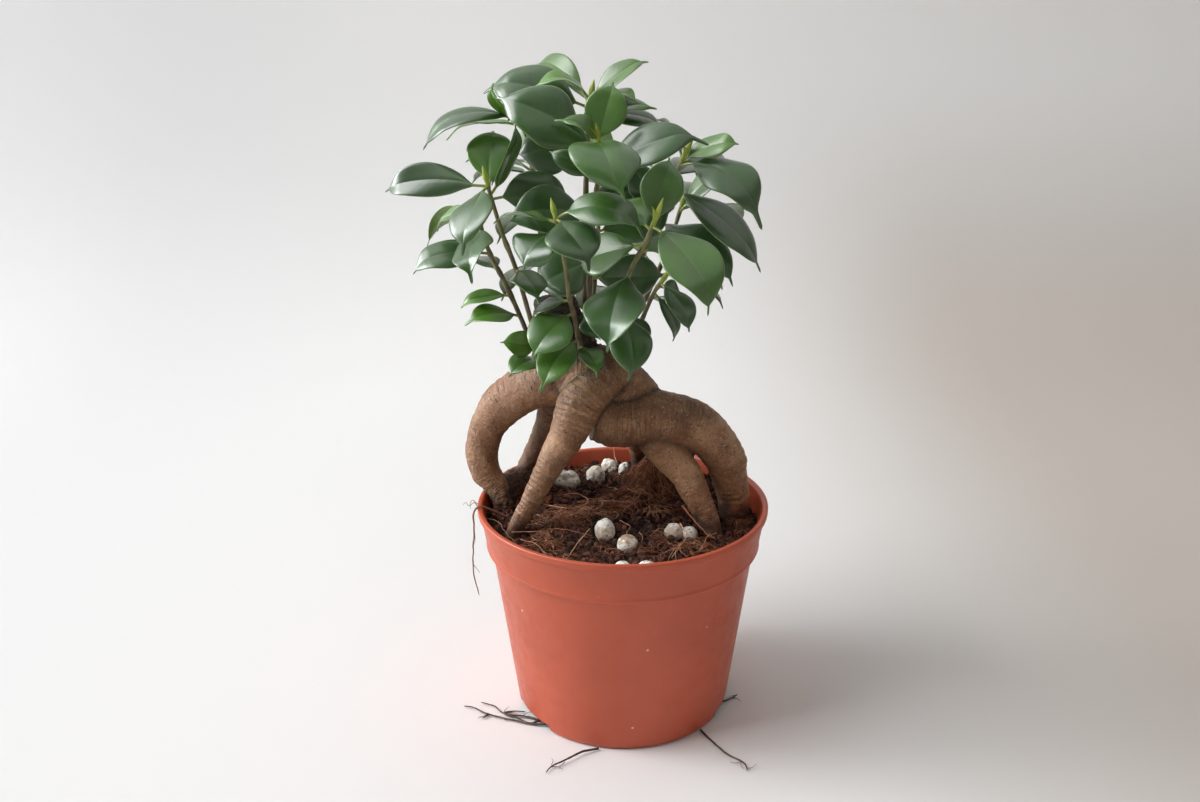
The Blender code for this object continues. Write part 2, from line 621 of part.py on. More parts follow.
def build_soil(cutters):
    """The filled body of the pot, up to an uneven surface, with plain holes for roots and lumps."""
    low = POT_FLOOR + GAP
    edge = inner_radius(SOIL_EDGE) - SOIL_WALL_GAP
    heights = (low, POT_STEP_HEIGHT - 1.2, SOIL_EDGE)
    wall = [(inner_radius(height) - SOIL_WALL_GAP, height) for height in heights]
    top = [(edge * share, SOIL_LEVEL) for share in SOIL_RINGS]
    bm = turned([(0, low), *wall, *top], SOIL_SIDES)
    for vert in bm.verts:
        if vert.co.z > (SOIL_EDGE + 0.1) * MM:
            vert.co.z = soil_height(vert.co.x / MM, vert.co.y / MM) * MM
    bmesh.ops.triangulate(bm, faces=bm.faces[:])
    bmesh.ops.recalc_face_normals(bm, faces=bm.faces[:])
    soil = add_object("soil", mesh_of("soil", bm), "soil")
    combine(soil, cutters, "DIFFERENCE")


def limb_hole_cutters():
    """A plain hole in the soil for the foot of each limb that goes into it."""
    cutters = []
    for points in LIMBS.values():
        path, radii = limb_path(points)
        feet = [(place, radius) for place, radius in zip(path, radii) if place.z < LIMB_HOLE_START]
        if not feet:
            continue
        path, radii = zip(*feet)
        path = list(path)
        path[0] = path[0] + (path[0] - path[1]).normalized() * LIMB_HOLE_GAP
        path[-1] = path[-1] + (path[-1] - path[-2]).normalized() * LIMB_HOLE_GAP
        mesh = tube("hole", path, [radius + LIMB_HOLE_GAP for radius in radii], 2)
        cutters.append(add_object("hole", mesh, "soil"))
    return cutters


def build_storage_roots():
    """Crown, stub and stilt roots grown as one piece, with a plain hole for the foot of each stem."""
    bm = bmesh.new()
    for points in LIMBS.values():
        mesh = tube("limb", *limb_path(points), 4)
        bm.from_mesh(mesh)
        bpy.data.meshes.remove(mesh)
    roots = add_object("storage_roots", mesh_of("storage_roots", bm), "root")
    remesh = roots.modifiers.new("grow_together", "REMESH")
    remesh.mode = "VOXEL"
    remesh.voxel_size = LIMB_VOXEL * MM
    blend = roots.modifiers.new("blend", "SMOOTH")
    blend.factor = LIMB_BLEND
    blend.iterations = LIMB_BLEND_ROUNDS
    apply_modifiers(roots)
    fewer = roots.modifiers.new("fewer", "DECIMATE")
    fewer.ratio = LIMB_TRIANGLES / (2 * len(roots.data.polygons))
    apply_modifiers(roots)
    cutters = []
    for name in STEMS:
        path, radii = stem_run(name, GAP, below=GAP)
        mesh = tube("seat", path[:5], radii[:5], 2)
        cutters.append(add_object("seat", mesh, "root"))
    combine(roots, cutters, "DIFFERENCE")
    roots.data.shade_smooth()


def build_shoots(moves):
    """Each leafy stem: its tapered stem with its leaves grown from it."""
    for shoot, leaves in LEAVES.items():
        path = stem_path(shoot)
        stem = add_object(shoot, tube(shoot, *stem_run(shoot), 1), "leaf")
        blades = []
        for number, leaf in enumerate(leaves):
            shell = leaf_shell(point_up(path, leaf.up), leaf, moves[shoot, number], LEAF_THICKNESS)
            blades.append(add_object("blade", mesh_of("blade", shell), "leaf"))
        combine(stem, blades, "UNION")


def perlite_lump(number, grow=0.0):
    """A rounded lump with an uneven skin, part sunk in the soil."""
    x, y, half_x, half_y, half_z = PERLITE[number]
    bm = bmesh.new()
    bmesh.ops.create_icosphere(bm, subdivisions=2, radius=1)
    shift = Vector((number * 3.1, 0, 0))
    middle = Vector((x, y, soil_height(x, y) + half_z * (1 - 2 * PERLITE_SUNK)))
    for vert in bm.verts:
        uneven = 1 if grow else 1 + PERLITE_UNEVENNESS * noise.noise(vert.co * 1.4 + shift)
        size = Vector((half_x + grow, half_y + grow, half_z + grow)) * uneven
        vert.co = (middle + vert.co * size) * MM
    return mesh_of("lump", bm)


def build_perlite():
    for number in range(len(PERLITE)):
        add_object(f"perlite_{number + 1:02d}", perlite_lump(number), "perlite")


def perlite_cutters():
    """The dents that the lumps lie in."""
    dents = [perlite_lump(number, grow=PERLITE_DENT_GAP) for number in range(len(PERLITE))]
    return [add_object("dent", dent, "soil") for dent in dents]


def build_fine_roots():
    """Thin roots out of the notches and over the rim; strands of one cluster are joined."""
    for name, strands in FINE_ROOTS.items():
        made = []
        for strand in strands:
            path = smooth_path(strand, 2)
            last = len(path) - 1
            radii = [FINE_ROOT_RADIUS * (1 - FINE_ROOT_TAPER * i / last) for i in range(last + 1)]
            made.append(add_object(name, tube(name, path, radii, 1), "fine_root"))
        if len(made) > 1:
            combine(made[0], made[1:], "UNION")


def main():
    clear_scene()
    build_pot()
    build_soil(limb_hole_cutters() + perlite_cutters())
    build_storage_roots()
    build_shoots(settle_leaves())
    build_perlite()
    build_fine_roots()


if __name__ == "__main__":
    main()
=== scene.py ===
"""The looks of a ginseng ficus in its terracotta-coloured plastic nursery pot.

Lengths are written in millimetres and MM turns them into metres. Each plain solid of the frame gets
a finer piece here that keeps its place and form.
"""

import math
import random
from collections import namedtuple

import bmesh
import bpy
from mathutils import Matrix, Vector, noise
from mathutils.kdtree import KDTree


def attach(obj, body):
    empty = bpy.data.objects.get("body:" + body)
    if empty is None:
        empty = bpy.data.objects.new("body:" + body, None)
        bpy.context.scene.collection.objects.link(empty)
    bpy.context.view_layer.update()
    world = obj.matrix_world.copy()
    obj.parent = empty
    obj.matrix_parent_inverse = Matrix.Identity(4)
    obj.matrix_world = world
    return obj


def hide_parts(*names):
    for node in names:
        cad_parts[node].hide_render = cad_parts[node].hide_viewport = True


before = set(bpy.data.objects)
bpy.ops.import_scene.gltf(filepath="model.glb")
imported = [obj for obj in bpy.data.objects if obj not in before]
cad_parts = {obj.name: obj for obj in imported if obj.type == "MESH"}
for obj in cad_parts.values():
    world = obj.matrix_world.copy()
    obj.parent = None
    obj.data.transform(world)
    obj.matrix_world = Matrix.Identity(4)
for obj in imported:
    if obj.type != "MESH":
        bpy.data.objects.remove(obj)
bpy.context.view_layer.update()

MM = 0.001

# noise_vector starts from the clock unless a seed is set, and each run has to give the same soil
NOISE_SEED = 3

# The camera that took the photograph, fitted to the pot's rim and base
CAMERA_PLACE = (0, -444, 289.3)
CAMERA_DOWN = 19.29
CAMERA_TO_LEFT = 1.17
CAMERA_ROLL = -0.38
CAMERA_LENS = 35
CAMERA_SENSOR = 36

# Pot, a turned shell with a stepped rim band
POT_HEIGHT = 90.8
POT_BASE_RADIUS = 45.1
POT_STEP_RADIUS = 54.6
POT_STEP_HEIGHT = 72.6
POT_BAND_RADIUS = 56.5
POT_RIM_RADIUS = 60.0
POT_WALL = 1.3
POT_FLOOR = 1.6
POT_SIDES = 200
POT_SHARP_ANGLE = math.radians(38)
NOTCH_BEARINGS = (212, 346, 99)
NOTCH_WIDTH = 26.0
NOTCH_HEIGHT = 3.6
NOTCH_INNER_RADIUS = 34.0
# The inner wall from the floor up, as radius and height
POT_INSIDE = [
    (POT_BASE_RADIUS - POT_WALL, POT_FLOOR), (POT_STEP_RADIUS - POT_WALL, POT_STEP_HEIGHT - 0.4),
    (POT_BAND_RADIUS - POT_WALL, POT_STEP_HEIGHT + 1.6), (POT_RIM_RADIUS - POT_WALL - 1.2, POT_HEIGHT - 1),
]

# Soil, with its mounds and hollows as x, y, height and spread
SOIL_LEVEL = 84.5
SOIL_CELLS = 270
SOIL_WALL_GAP = 0.35
SOIL_FLOOR_GAP = 0.3
SOIL_MOUNDS = (
    (-50, 20, 4.5, 12), (15, 33, 9.0, 12), (12, 20, 2.5, 9), (-8, 0, 2.0, 22),
    (4, -50, -2.0, 10), (44, -22, -3.0, 16), (50, 8, -3.5, 14), (-38, -36, -1.5, 14),
)
SOIL_ROUGHNESS = 1.1
LITTER_REACH = 54

# Fluffy heap of coir by the inner right prop
HEAP_X = 13.0
HEAP_Y = 21.0
HEAP_RISE = 8.5
HEAP_SPREAD_X = 7.5
HEAP_SPREAD_Y = 8.5
HEAP_CORE_SIZE = 1.35

# Tufts of coir: middle x, y, spread x, y, how many, height, bearing in degrees and how pale
COIR_TUFTS = [
    (13, 20, 8, 8, 46, 1.6, 60, 0.56), (11, 17, 7, 6, 20, 3.4, 100, 0.68),
    (-24, -10, 12, 5, 21, 2.0, 25, 0.64), (-4, 2, 14, 6, 20, 2.0, 15, 0.58),
    (-34, -26, 7, 9, 12, 1.4, -40, 0.55), (24, -28, 10, 8, 14, 1.4, 60, 0.55),
    (-6, -40, 22, 6, 14, 1.2, 10, 0.50), (-50, 10, 5, 9, 14, 2.4, 90, 0.48),
    (0, 16, 30, 20, 22, 1.4, 0, 0.45), (48, -8, 4, 14, 8, 1.4, 90, 0.45),
]
FIBRE_GROUPS = 14
FIBRES_IN_GROUP = 30
FIBRE_STEPS = 7
CRUMB_GROUPS = 45
CRUMBS_IN_GROUP = 32
RED_CHIP_SHARE = 0.16

# Single rootlets over the soil: how pale, thickness, and points as x, y and z
ROOTLETS = [
    (0.95, 0.20, [(-13, -24, 88.5), (-17, -34, 88.0), (-20, -43, 86.8), (-22, -48, 86.4)]),
    (0.85, 0.16, [(-1, -20, 90.5), (3, -25, 90.0), (1.5, -29, 89.0), (3, -35, 87.5)]),
    (0.80, 0.20, [(-30, -6, 90.5), (-20, -10, 91.0), (-14, -3, 91.5), (-20, 4, 91.5), (-27, 3, 91.0)]),
    (0.88, 0.36, [
        (23.4, -16.5, 86.8), (23.2, -20.3, 89.2), (24.2, -24, 88.6), (25.2, -28, 87.4), (22.6, -35, 86.8),
    ]),
    (0.88, 0.30, [(22.9, -34, 86.9), (20.8, -39, 86.5), (18.8, -44.3, 86.1)]),
    (0.80, 0.18, [(24.5, -31, 87.2), (20.5, -38, 87.2), (16.8, -47.8, 86.2)]),
    (0.80, 0.16, [(23.5, -33.5, 87.0), (20.6, -39.6, 86.9), (20.3, -46.2, 86.2)]),
    (0.75, 0.15, [(22.5, -35, 86.9), (18, -39.5, 86.9), (16, -41, 86.6), (13, -43.5, 86.2)]),
    (0.70, 0.15, [(22, -36, 86.9), (22.6, -41, 86.8), (25, -44, 86.2)]),
    (0.62, 0.40, [(24, -15, 94.5), (28.5, -20, 90.5), (33.5, -24.5, 86.5), (37, -27, 85.4)]),
    (0.85, 0.18, [(37, -26, 88.0), (33, -31, 88.5), (30, -38, 86.6), (24, -43, 86.2)]),
    (0.80, 0.14, [(-56, -12, 87.6), (-50, -18, 88.6), (-46, -26, 87.4), (-41, -33, 86.2)]),
    (0.85, 0.13, [(-40, -30, 86.6), (-34, -35, 87.6), (-30, -42, 87.0), (-27, -47, 86.0)]),
    (0.70, 0.22, [(-44, -24, 87.0), (-34, -27, 88.6), (-24, -26, 89.4), (-12, -30, 88.4)]),
    (0.80, 0.16, [(-10, -2, 91.0), (-2, -6, 92.4), (8, -4, 91.4), (12, 3, 91.0), (6, 8, 92.5)]),
    (0.75, 0.16, [(2, 8, 92.0), (7, 2, 92.5), (16, 3, 91.5), (18, 11, 93.0)]),
    (0.45, 0.28, [(-31.5, -1.5, 142), (-32.4, -3.5, 136), (-31.6, -3.2, 131), (-32.6, -2.2, 126)]),
    (0.55, 0.18, [
        (-58.6, -7, 89.8), (-60.8, -8, 92.4), (-62.6, -9, 91.6), (-64.0, -8, 92.6), (-65.2, -9, 91.8),
    ]),
    (0.45, 0.16, [(-59.4, -4, 89.8), (-61.6, -5, 92.2), (-63.0, -4.4, 90.4), (-62.8, -4, 88.0)]),
    (0.95, 0.22, [(-2, 36, 91.0), (-4, 42, 96.5), (-1.5, 44, 101.0)]),
]

# Storage roots and trunk stub: points along each limb as x, y, z and radius
LIMBS = {
    "stub": [(-15, 0, 138, 9), (-19, 3, 150, 10.5), (-24, 5, 164, 9.2), (-27, 6, 176, 8.2)],
    "crown": [
        (-19, -2, 146, 10), (-11, -1, 146, 11.5), (-3, 2, 142, 11.4), (4, 5, 136, 9.8), (10, 6, 129, 8.4),
    ],
    "left arch": [
        (-14, 1, 145, 9.8), (-30, 3, 141, 10.2), (-40, 5, 137, 9.7), (-48, 7, 131, 9), (-55, 8, 121, 7.8),
        (-58.5, 9, 110, 7), (-57.4, 8, 100, 6.5), (-52, 6, 93, 4.6), (-49.8, 4, 86, 4), (-49, 3, 75, 3),
    ],
    "left mound": [(-50, 7, 90, 4.4), (-47, 15, 90, 6), (-43, 23, 89, 5.6), (-41.5, 27.5, 82, 4.6)],
    "front prop": [
        (-5, -4, 147, 9), (-15, -9, 139, 9.4), (-21.2, -14, 125.7, 7.5), (-29, -16.5, 112.5, 5.3),
        (-36.5, -18.5, 97.8, 4.1), (-43.2, -20.8, 86.5, 3.1), (-47, -22, 76, 2.2),
    ],
    "thin left prop": [
        (-21, 4, 142, 7.5), (-28, 12, 127, 6.4), (-34, 20, 110, 5.4), (-41, 26.5, 94, 4.8),
        (-41.5, 27.5, 84, 4.3), (-38, 25, 73, 3),
    ],
    "right arch": [
        (-11, -1, 129, 11), (-1, 0, 126.5, 12), (13, 0, 126.5, 11.5), (25, 0, 124.8, 10.6), (34, 0, 120, 9.6),
        (40.8, 1, 111, 8.4), (44.8, 2, 98, 7.3), (46.2, 3, 87, 6.6), (46.5, 4, 73, 5),
    ],
    "inner right prop": [
        (10, 0, 123, 9), (18.5, -3, 113, 7.8), (24.8, -6.5, 106, 6.6), (28.8, -9, 99.5, 6),
        (32.2, -11, 92, 5.3), (35.8, -13, 84.8, 4.2), (37.5, -14, 74, 3.2),
    ],
    "back prop": [(3, 3, 130, 8), (4, 17, 119, 5.4), (6, 32, 104, 4.2), (7.5, 44, 90, 3.5), (7, 48, 77, 3)],
}
ROOT_VOXEL = 0.7
RIDGE_STEP = 1.25
WRINKLE_STEP = 2.7
CLODS = {"left mound": 1.5, "left arch": 1.0}
# The marks: place along the limb, painted shade in the creases, the old stub, and soil dirt low down together
# with painted shade under the arches and on the thin left prop
ROOT_MARKS = ("along", "painted_crease_shade", "stub", "dirt_and_painted_shade")
STUB_PLACE = Vector((-22, 4))

# Leafy shoots: points along each stem as x, y and z
STEMS = {
    "shoot_left": [
        (-31, 0, 147), (-36, -3, 169), (-41, -6, 190), (-45, -9, 203), (-49, -10, 218), (-50, -11, 223),
    ],
    "shoot_left_low": [
        (-33, 5, 147), (-41, 6, 168), (-47, 7, 182), (-52, 8, 192), (-55, 7, 203), (-55, 5, 211),
    ],
    "shoot_front": [
        (-16, -7, 156), (-18, -10, 169), (-20, -16, 181), (-21, -22, 194), (-23, -28, 209), (-24, -29, 214),
    ],
    "shoot_front_right": [(-4, -5, 152), (-1, -10, 176), (3, -20, 192), (8, -26, 203), (11, -29, 211)],
    "shoot_top": [(-12, 1, 155), (-13, 2, 182), (-11, -1, 210), (-9, -6, 225), (-9, -12, 238)],
    "shoot_top_back": [(-15, 8, 155), (-15, 12, 190), (-14, 12, 225), (-13, 9, 246), (-12, 8, 252)],
    "shoot_top_left": [(-27, 9, 165), (-30, 14, 182), (-34, 17, 207), (-36, 13, 233), (-39, 7, 244)],
    "shoot_right": [(-5, 5, 150), (3, 11, 176), (12, 12, 202), (18, 8, 218), (23, 4, 230)],
    "shoot_right_low": [(1, 1, 149), (7, 0, 166), (12, 0, 178), (15, -1, 183)],
    "shoot_back_left": [(-23, 13, 160), (-29, 24, 180), (-34, 34, 202), (-37, 38, 224)],
    "shoot_back": [(-13, 12, 150), (-12, 26, 172), (-10, 36, 198), (-10, 40, 218)],
    "shoot_back_right": [(-4, 10, 148), (8, 22, 168), (18, 30, 188), (24, 34, 206)],
}
STEM_FOOT_RADIUS = 1.35
STEM_TOP_RADIUS = 0.9
STEM_SLIMMER = 0.78
LAST_LEAF_UP = 0.985
BUD_LENGTH = 7.0
BUD_PROFILE = ((0.14, 1.05), (0.32, 1.3), (0.55, 1.1), (0.8, 0.6), (0.97, 0.18), (1.0, 0.02))
LONG_BUDS = {"shoot_front_right": 11.5, "shoot_right": 9.0, "shoot_top": 8.0}

# Leaves: how far up the stem, tip, width, the way the glossy side faces, and how far the rib arches
Leaf = namedtuple("Leaf", "up tip width face arch")
LEAVES = {
    "shoot_left": [
        (1.00, (-91.5, -4, 220), 14, (0, -8, 5.6), 0.06), (0.97, (-48, 6, 242), 18, (1, -9, 2), 0.05),
        (0.94, (-37, -3, 243), 13, (9, -3, 3), 0.05), (1.00, (-58, -34, 203), 18, (-5.3, -7, 4.6), 0.10),
        (0.92, (-20, 3, 218), 19, (0, -9, 5), 0.08), (0.55, (-31, -26, 184), 15, (1, -4, 9), 0.08),
        (0.15, (-46, -13, 163), 11, (-2, -9, 3), 0.08), (0.06, (-43, -19, 155), 13, (-3, -8, 4), 0.10),
    ],
    "shoot_left_low": [
        (0.86, (-57, -20, 191), 18, (-4.4, -6.5, 5.8), 0.12), (0.72, (-82, 0, 190), 16, (-1, -6, 8), 0.10),
        (1.00, (-74, 10, 204), 9, (-3, -4, 8), 0.10), (0.95, (-80, 14, 197), 11, (-4, 3, 8), 0.20),
        (0.45, (-64, 2, 174), 10, (0, -2, 9), 0.08), (0.32, (-61, -6, 169), 13, (0, -4, 9), 0.10),
        (0.60, (-66, 28, 186), 15, (-3, 4, 8), 0.10),
    ],
    "shoot_front": [
        (1.00, (8, -32, 211), 18, (1, -5, 9), 0.22), (0.98, (-10, -48, 201), 21, (1, -6, 8), 0.12),
        (0.96, (-46, -24, 214), 14, (0, 1, 10), 0.06), (0.90, (-36, -38, 198), 20, (-4, -6, 7), 0.12),
        (0.30, (-34, -27, 161), 19, (-2, -7, 7), 0.12), (0.40, (-36, -8, 172), 14, (-1, -6, 8), 0.08),
        (0.10, (-30, -32, 150), 15, (-3, -8, 5), 0.10), (0.05, (-9, -25, 157), 10, (2, -7, 6), 0.10),
    ],
    "shoot_front_right": [
        (1.00, (33, -50, 187), 23, (4, -7, 6), 0.12), (0.98, (18, -24, 234), 16, (1, -10, 1), 0.05),
        (0.96, (-3, -12, 215), 15, (0, -6, 8), 0.10), (0.86, (-17, -18, 194), 20, (0, -6, 8), 0.08),
        (0.66, (-5, -46, 171), 24, (-2, -8, 5), 0.08), (0.36, (4, -30, 154), 17, (3, -9, 3), 0.06),
        (0.30, (11, -8, 160), 10, (6, -6, 5), 0.08), (0.80, (26, -14, 200), 14, (5, -4, 8), 0.10),
    ],
    "shoot_top": [
        (1.00, (-3, -8, 259), 16, (-2, -10, 2), 0.04), (1.00, (-23, -20, 247), 9, (0, -6, 8), 0.20),
        (0.98, (-1, -43, 225), 26, (0, -6, 8), 0.20), (0.97, (-44, -22, 255), 23, (2, -8, 6), 0.06),
        (0.82, (29, -9, 242), 19, (1, -6, 8), 0.14), (0.82, (-27, -8, 234), 9, (-2, -7, 5), 0.14),
        (0.64, (-41, -6, 213), 20, (0, -9, 5), 0.08), (0.42, (-33, -12, 183), 25, (0, -8, 5), 0.06),
        (0.24, (-10, -20, 162), 13, (-4, -8, 3), 0.06), (0.55, (21, 4, 211), 18, (2, -9, 4), 0.06),
        (0.34, (18, 5, 184), 18, (2, -9, 4), 0.08),
    ],
    "shoot_top_back": [
        (1.00, (9, 12, 266.5), 11, (-1, -5, 8), 0.10), (0.99, (5, -2, 259), 12, (1, -3, 9), 0.10),
        (0.97, (-22, 31, 258), 15, (2, 6, 6), 0.06), (1.00, (-32, 0, 258), 11, (0, -3, 9), 0.22),
        (0.99, (-35, 33, 264.4), 11, (-1, -2, 9), 0.14), (0.96, (-52, 13, 258), 23, (0, -8, 6), 0.08),
        (0.92, (17, 8, 241), 14, (2, -4, 8), 0.12), (0.84, (-40, 10, 231), 20, (0, -9, 4), 0.06),
        (0.86, (6, 38, 244), 17, (2, 5, 8), 0.12), (0.60, (10, 18, 216), 17, (2, -9, 5), 0.08),
        (0.44, (-34, 16, 198), 19, (-1, -9, 5), 0.08), (0.30, (8, 14, 186), 17, (2, -9, 4), 0.08),
        (0.92, (12, 2, 250), 13, (2, -8, 6), 0.08),
    ],
    "shoot_top_left": [
        (1.00, (-75, -2, 237), 15, (-1, -3.6, 9), 0.21), (0.98, (-49, -4, 257), 9, (-4, -6, 3), 0.04),
        (0.96, (-68, 14, 239), 10, (0, -3, 9), 0.10), (0.94, (-46, 38, 244), 16, (-2, 5, 8), 0.12),
        (0.70, (-62, 34, 218), 16, (-4, 4, 8), 0.12),
    ],
    "shoot_right": [
        (1.00, (42, -4, 237), 13, (1, -5, 8), 0.06), (0.99, (15, 20, 244), 12, (1, 3, 9), 0.08),
        (0.97, (42, 18, 228), 15, (2, -5, 8), 0.08), (0.96, (52.5, -13, 209), 21, (3, -6, 7), 0.26),
        (0.84, (54, -6, 190), 20, (4, -6, 7), 0.12), (0.66, (43.5, -14, 188), 20, (3, -6, 7), 0.14),
        (0.75, (3, 0, 228), 13, (-2, -8, 6), 0.08), (0.88, (30, 36, 222), 17, (4, 5, 8), 0.14),
        (0.55, (39, 27, 186), 16, (5, 3, 8), 0.12),
    ],
    "shoot_right_low": [
        (1.00, (26, -14, 168), 13, (4, -7, 6), 0.10), (0.86, (22, -4, 161), 9, (6, -6, 5), 0.08),
        (0.94, (24, 14, 172), 12, (3, -4, 8), 0.12),
    ],
    "shoot_back_left": [
        (1.00, (-58, 62, 214), 18, (-4, 6, 7), 0.14), (0.97, (-24, 62, 226), 18, (2, 6, 7), 0.12),
        (0.94, (-62, 26, 226), 16, (-5, 0, 8), 0.10), (0.72, (-54, 58, 190), 18, (-4, 7, 6), 0.12),
        (0.60, (-20, 58, 186), 17, (3, 7, 6), 0.12), (0.42, (-52, 42, 168), 17, (-5, 5, 7), 0.10),
        (1.00, (-36, 50, 246), 14, (0, 8, 3), 0.06),
    ],
    "shoot_back": [
        (1.00, (-4, 68, 206), 19, (1, 6, 8), 0.14), (0.97, (14, 52, 222), 17, (4, 3, 8), 0.12),
        (0.95, (-14, 56, 244), 15, (-1, 8, 4), 0.06), (0.70, (-26, 66, 178), 18, (-3, 7, 6), 0.12),
        (0.62, (10, 64, 182), 18, (3, 7, 6), 0.12), (0.40, (-14, 52, 156), 17, (-1, 8, 5), 0.10),
        (0.30, (6, 42, 156), 15, (4, 7, 5), 0.10),
    ],
    "shoot_back_right": [
        (1.00, (52, 46, 198), 19, (5, 3, 8), 0.14), (0.98, (28, 64, 212), 18, (2, 7, 7), 0.12),
        (0.96, (46, 30, 230), 15, (4, -4, 7), 0.08), (0.70, (44, 52, 172), 18, (5, 5, 7), 0.12),
        (0.58, (42, 12, 172), 16, (5, 0, 8), 0.10), (0.40, (26, 48, 160), 16, (4, 7, 5), 0.10),
    ],
}
STALK_SHARE = 0.13
STALK_WIDTH = 1.1
LEAF_FOLD = math.radians(13)
LEAF_HOOK = 0.05

# How leaves in the lists above bend clear of their neighbours: tip forward, tip up, and roll in degrees
SETTLED = {
    "shoot_left": {2: (-4, 0, 0), 7: (0, -3, 14)},
    "shoot_left_low": {3: (8, 0, 28)},
    "shoot_front": {5: (0, 0, 28), 7: (0, -3, 0)},
    "shoot_top": {3: (4, 0, 0), 6: (-12, 0, 0), 7: (4, 0, 14), 8: (12, 0, 0), 10: (4, 0, 14)},
    "shoot_top_back": {
        1: (0, -6, 0), 4: (0, 0, -14), 5: (-4, 0, 0), 7: (-4, 0, 0), 10: (-4, 0, 0), 11: (4, 0, 28),
        12: (0, 0, -28),
    },
    "shoot_top_left": {1: (-4, 0, 0), 2: (0, 0, 14)},
    "shoot_right": {1: (0, 0, 28), 5: (4, 0, 0), 6: (8, 0, 0)},
    "shoot_right_low": {2: (0, 0, 14)},
    "shoot_back_left": {2: (4, 3, 0)},
    "shoot_back": {3: (-12, 0, 0)},
    "shoot_back_right": {2: (0, -6, -28)},
}

# Young leaves by their place in the lists above: 0 is an old dark leaf and 1 a fresh yellow-green one
YOUNG = {
    "shoot_left": {1: 0.5, 2: 0.4, 6: 0.8, 7: 0.45},
    "shoot_left_low": {2: 0.7, 3: 0.7, 4: 0.95, 5: 0.6},
    "shoot_front": {0: 0.2, 1: 0.12, 2: 0.45, 4: 0.3, 6: 0.65, 7: 0.5},
    "shoot_front_right": {0: 0.5, 1: 0.25, 2: 0.75, 3: 0.4, 7: 0.35},
    "shoot_top": {0: 0.5, 1: 1.0, 2: 0.14, 5: 0.2},
    "shoot_top_back": {0: 0.9, 1: 0.6, 3: 0.8, 4: 0.9, 12: 0.6},
    "shoot_top_left": {1: 0.7, 2: 0.8},
    "shoot_right": {0: 0.55},
    "shoot_right_low": {2: 0.2},
    "shoot_back_left": {6: 0.5},
    "shoot_back": {2: 0.5},
    "shoot_back_right": {2: 0.4},
}

# Fine leaf: places along the blade and, from rib to margin, across it
BLADE_ROWS = 34
ACROSS = (0, 0.035, 0.11, 0.27, 0.46, 0.65, 0.82, 0.94, 1)
BLADE_HALF_THICKNESS = 0.3
MARGIN_HALF_THICKNESS = 0.14
RIB_GROOVE = 0.17
RIB_RIDGE = 0.34
MARGIN_CURL = 0.17
LEAF_MARKS = ("along", "across", "under", "young", "tint")

# White perlite lumps: x, y, half width, half depth, half height, how popped and how stained
PERLITE = [
    (-25, 30, 6.2, 4.6, 4.6, 0.75, 0.35), (-12, 36, 4.2, 4.2, 4.4, 0.35, 0.45),
    (-6, 47, 3.4, 3.6, 3.9, 0.6, 0.2), (1, 40.5, 2.6, 3.2, 3.8, 0.6, 0.3),
    (-7, -22.5, 4.1, 4.6, 5.0, 0.12, 0.75), (2, -31.5, 4.1, 4.1, 3.9, 0.08, 0.95),
    (20.4, -21, 3.8, 3.4, 3.5, 0.2, 0.6), (26.4, -20.3, 3.6, 3.2, 3.2, 0.15, 0.5),
    (0, -48.5, 3.3, 3.2, 3.2, 0.2, 0.3), (9.5, -49, 3.8, 3.3, 3.2, 0.25, 0.3),
]
PERLITE_SUNK = 0.35

# Fine roots out of the drain notches and over the rim: x, y and z
FINE_ROOT_RADIUS = 0.5
FINE_ROOTS = {
    "drain_root_left": [
        [
            (-27, -25, 1.0), (-32, -29, 0.9), (-40, -28, 0.8), (-49, -25, 0.8), (-58, -21, 0.8),
            (-64, -17, 0.9), (-68, -16, 0.8),
        ],
        [
            (-27, -25, 1.0), (-34, -26, 0.9), (-42, -23, 0.8), (-50, -21, 0.8), (-55, -16, 0.9), (-61, -13, 0.8),
        ],
        [
            (-34, -26, 0.9), (-39, -28, 0.8), (-45, -24, 0.8), (-50, -21, 0.8), (-47, -19.5, 0.8),
            (-41, -20, 0.8),
        ],
        [(-57, -21.5, 0.8), (-59, -25, 0.8)],
    ],
    "drain_root_front": [
        [(-9.7, -45.2, 0.8), (-17, -49, 1.6), (-23, -54, 1.6), (-28, -57, 1.0), (-30, -61, 0.8)],
    ],
    "drain_root_right": [
        [
            (32.3, -32.1, 0.8), (36, -39, 0.8), (41, -47, 0.8), (46, -52, 0.8), (48.6, -55, 0.8), (49, -59, 0.8),
        ],
    ],
    "drain_root_back": [[(38, -10, 1.0), (43, -11.5, 0.9), (47, -9, 0.8), (50, -6, 0.8)]],
    "rim_root": [
        [
            (-47, -8, 85.9), (-53, -9, 89.6), (-58.2, -9.8, 91.7), (-60.9, -10, 88.5), (-61.2, -9, 80),
            (-62.4, -6, 67), (-62.8, -4, 58), (-61, -3, 47),
        ],
    ],
}


# Meshes and objects


def put(name, data):
    """A new object in the scene."""
    thing = bpy.data.objects.new(name, data)
    bpy.context.scene.collection.objects.link(thing)
    return thing


def drop(thing):
    """Removes an object and its mesh or curve."""
    data = thing.data
    bpy.data.objects.remove(thing, do_unlink=True)
    (bpy.data.curves if isinstance(data, bpy.types.Curve) else bpy.data.meshes).remove(data)


def mesh_of(name, bm):
    mesh = bpy.data.meshes.new(name)
    bm.to_mesh(mesh)
    bm.free()
    return mesh


def pour(mesh, bm):
    """Adds a mesh to a bmesh and removes it."""
    bm.from_mesh(mesh)
    bpy.data.meshes.remove(mesh)
    return bm


def show(name, mesh, finish, node):
    """Puts a finished mesh on the object as a piece that stands for a plain solid."""
    piece = put(name, mesh)
    mesh.materials.clear()
    mesh.materials.append(finish)
    mesh.shade_smooth()
    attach(piece, "root")
    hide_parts(node)


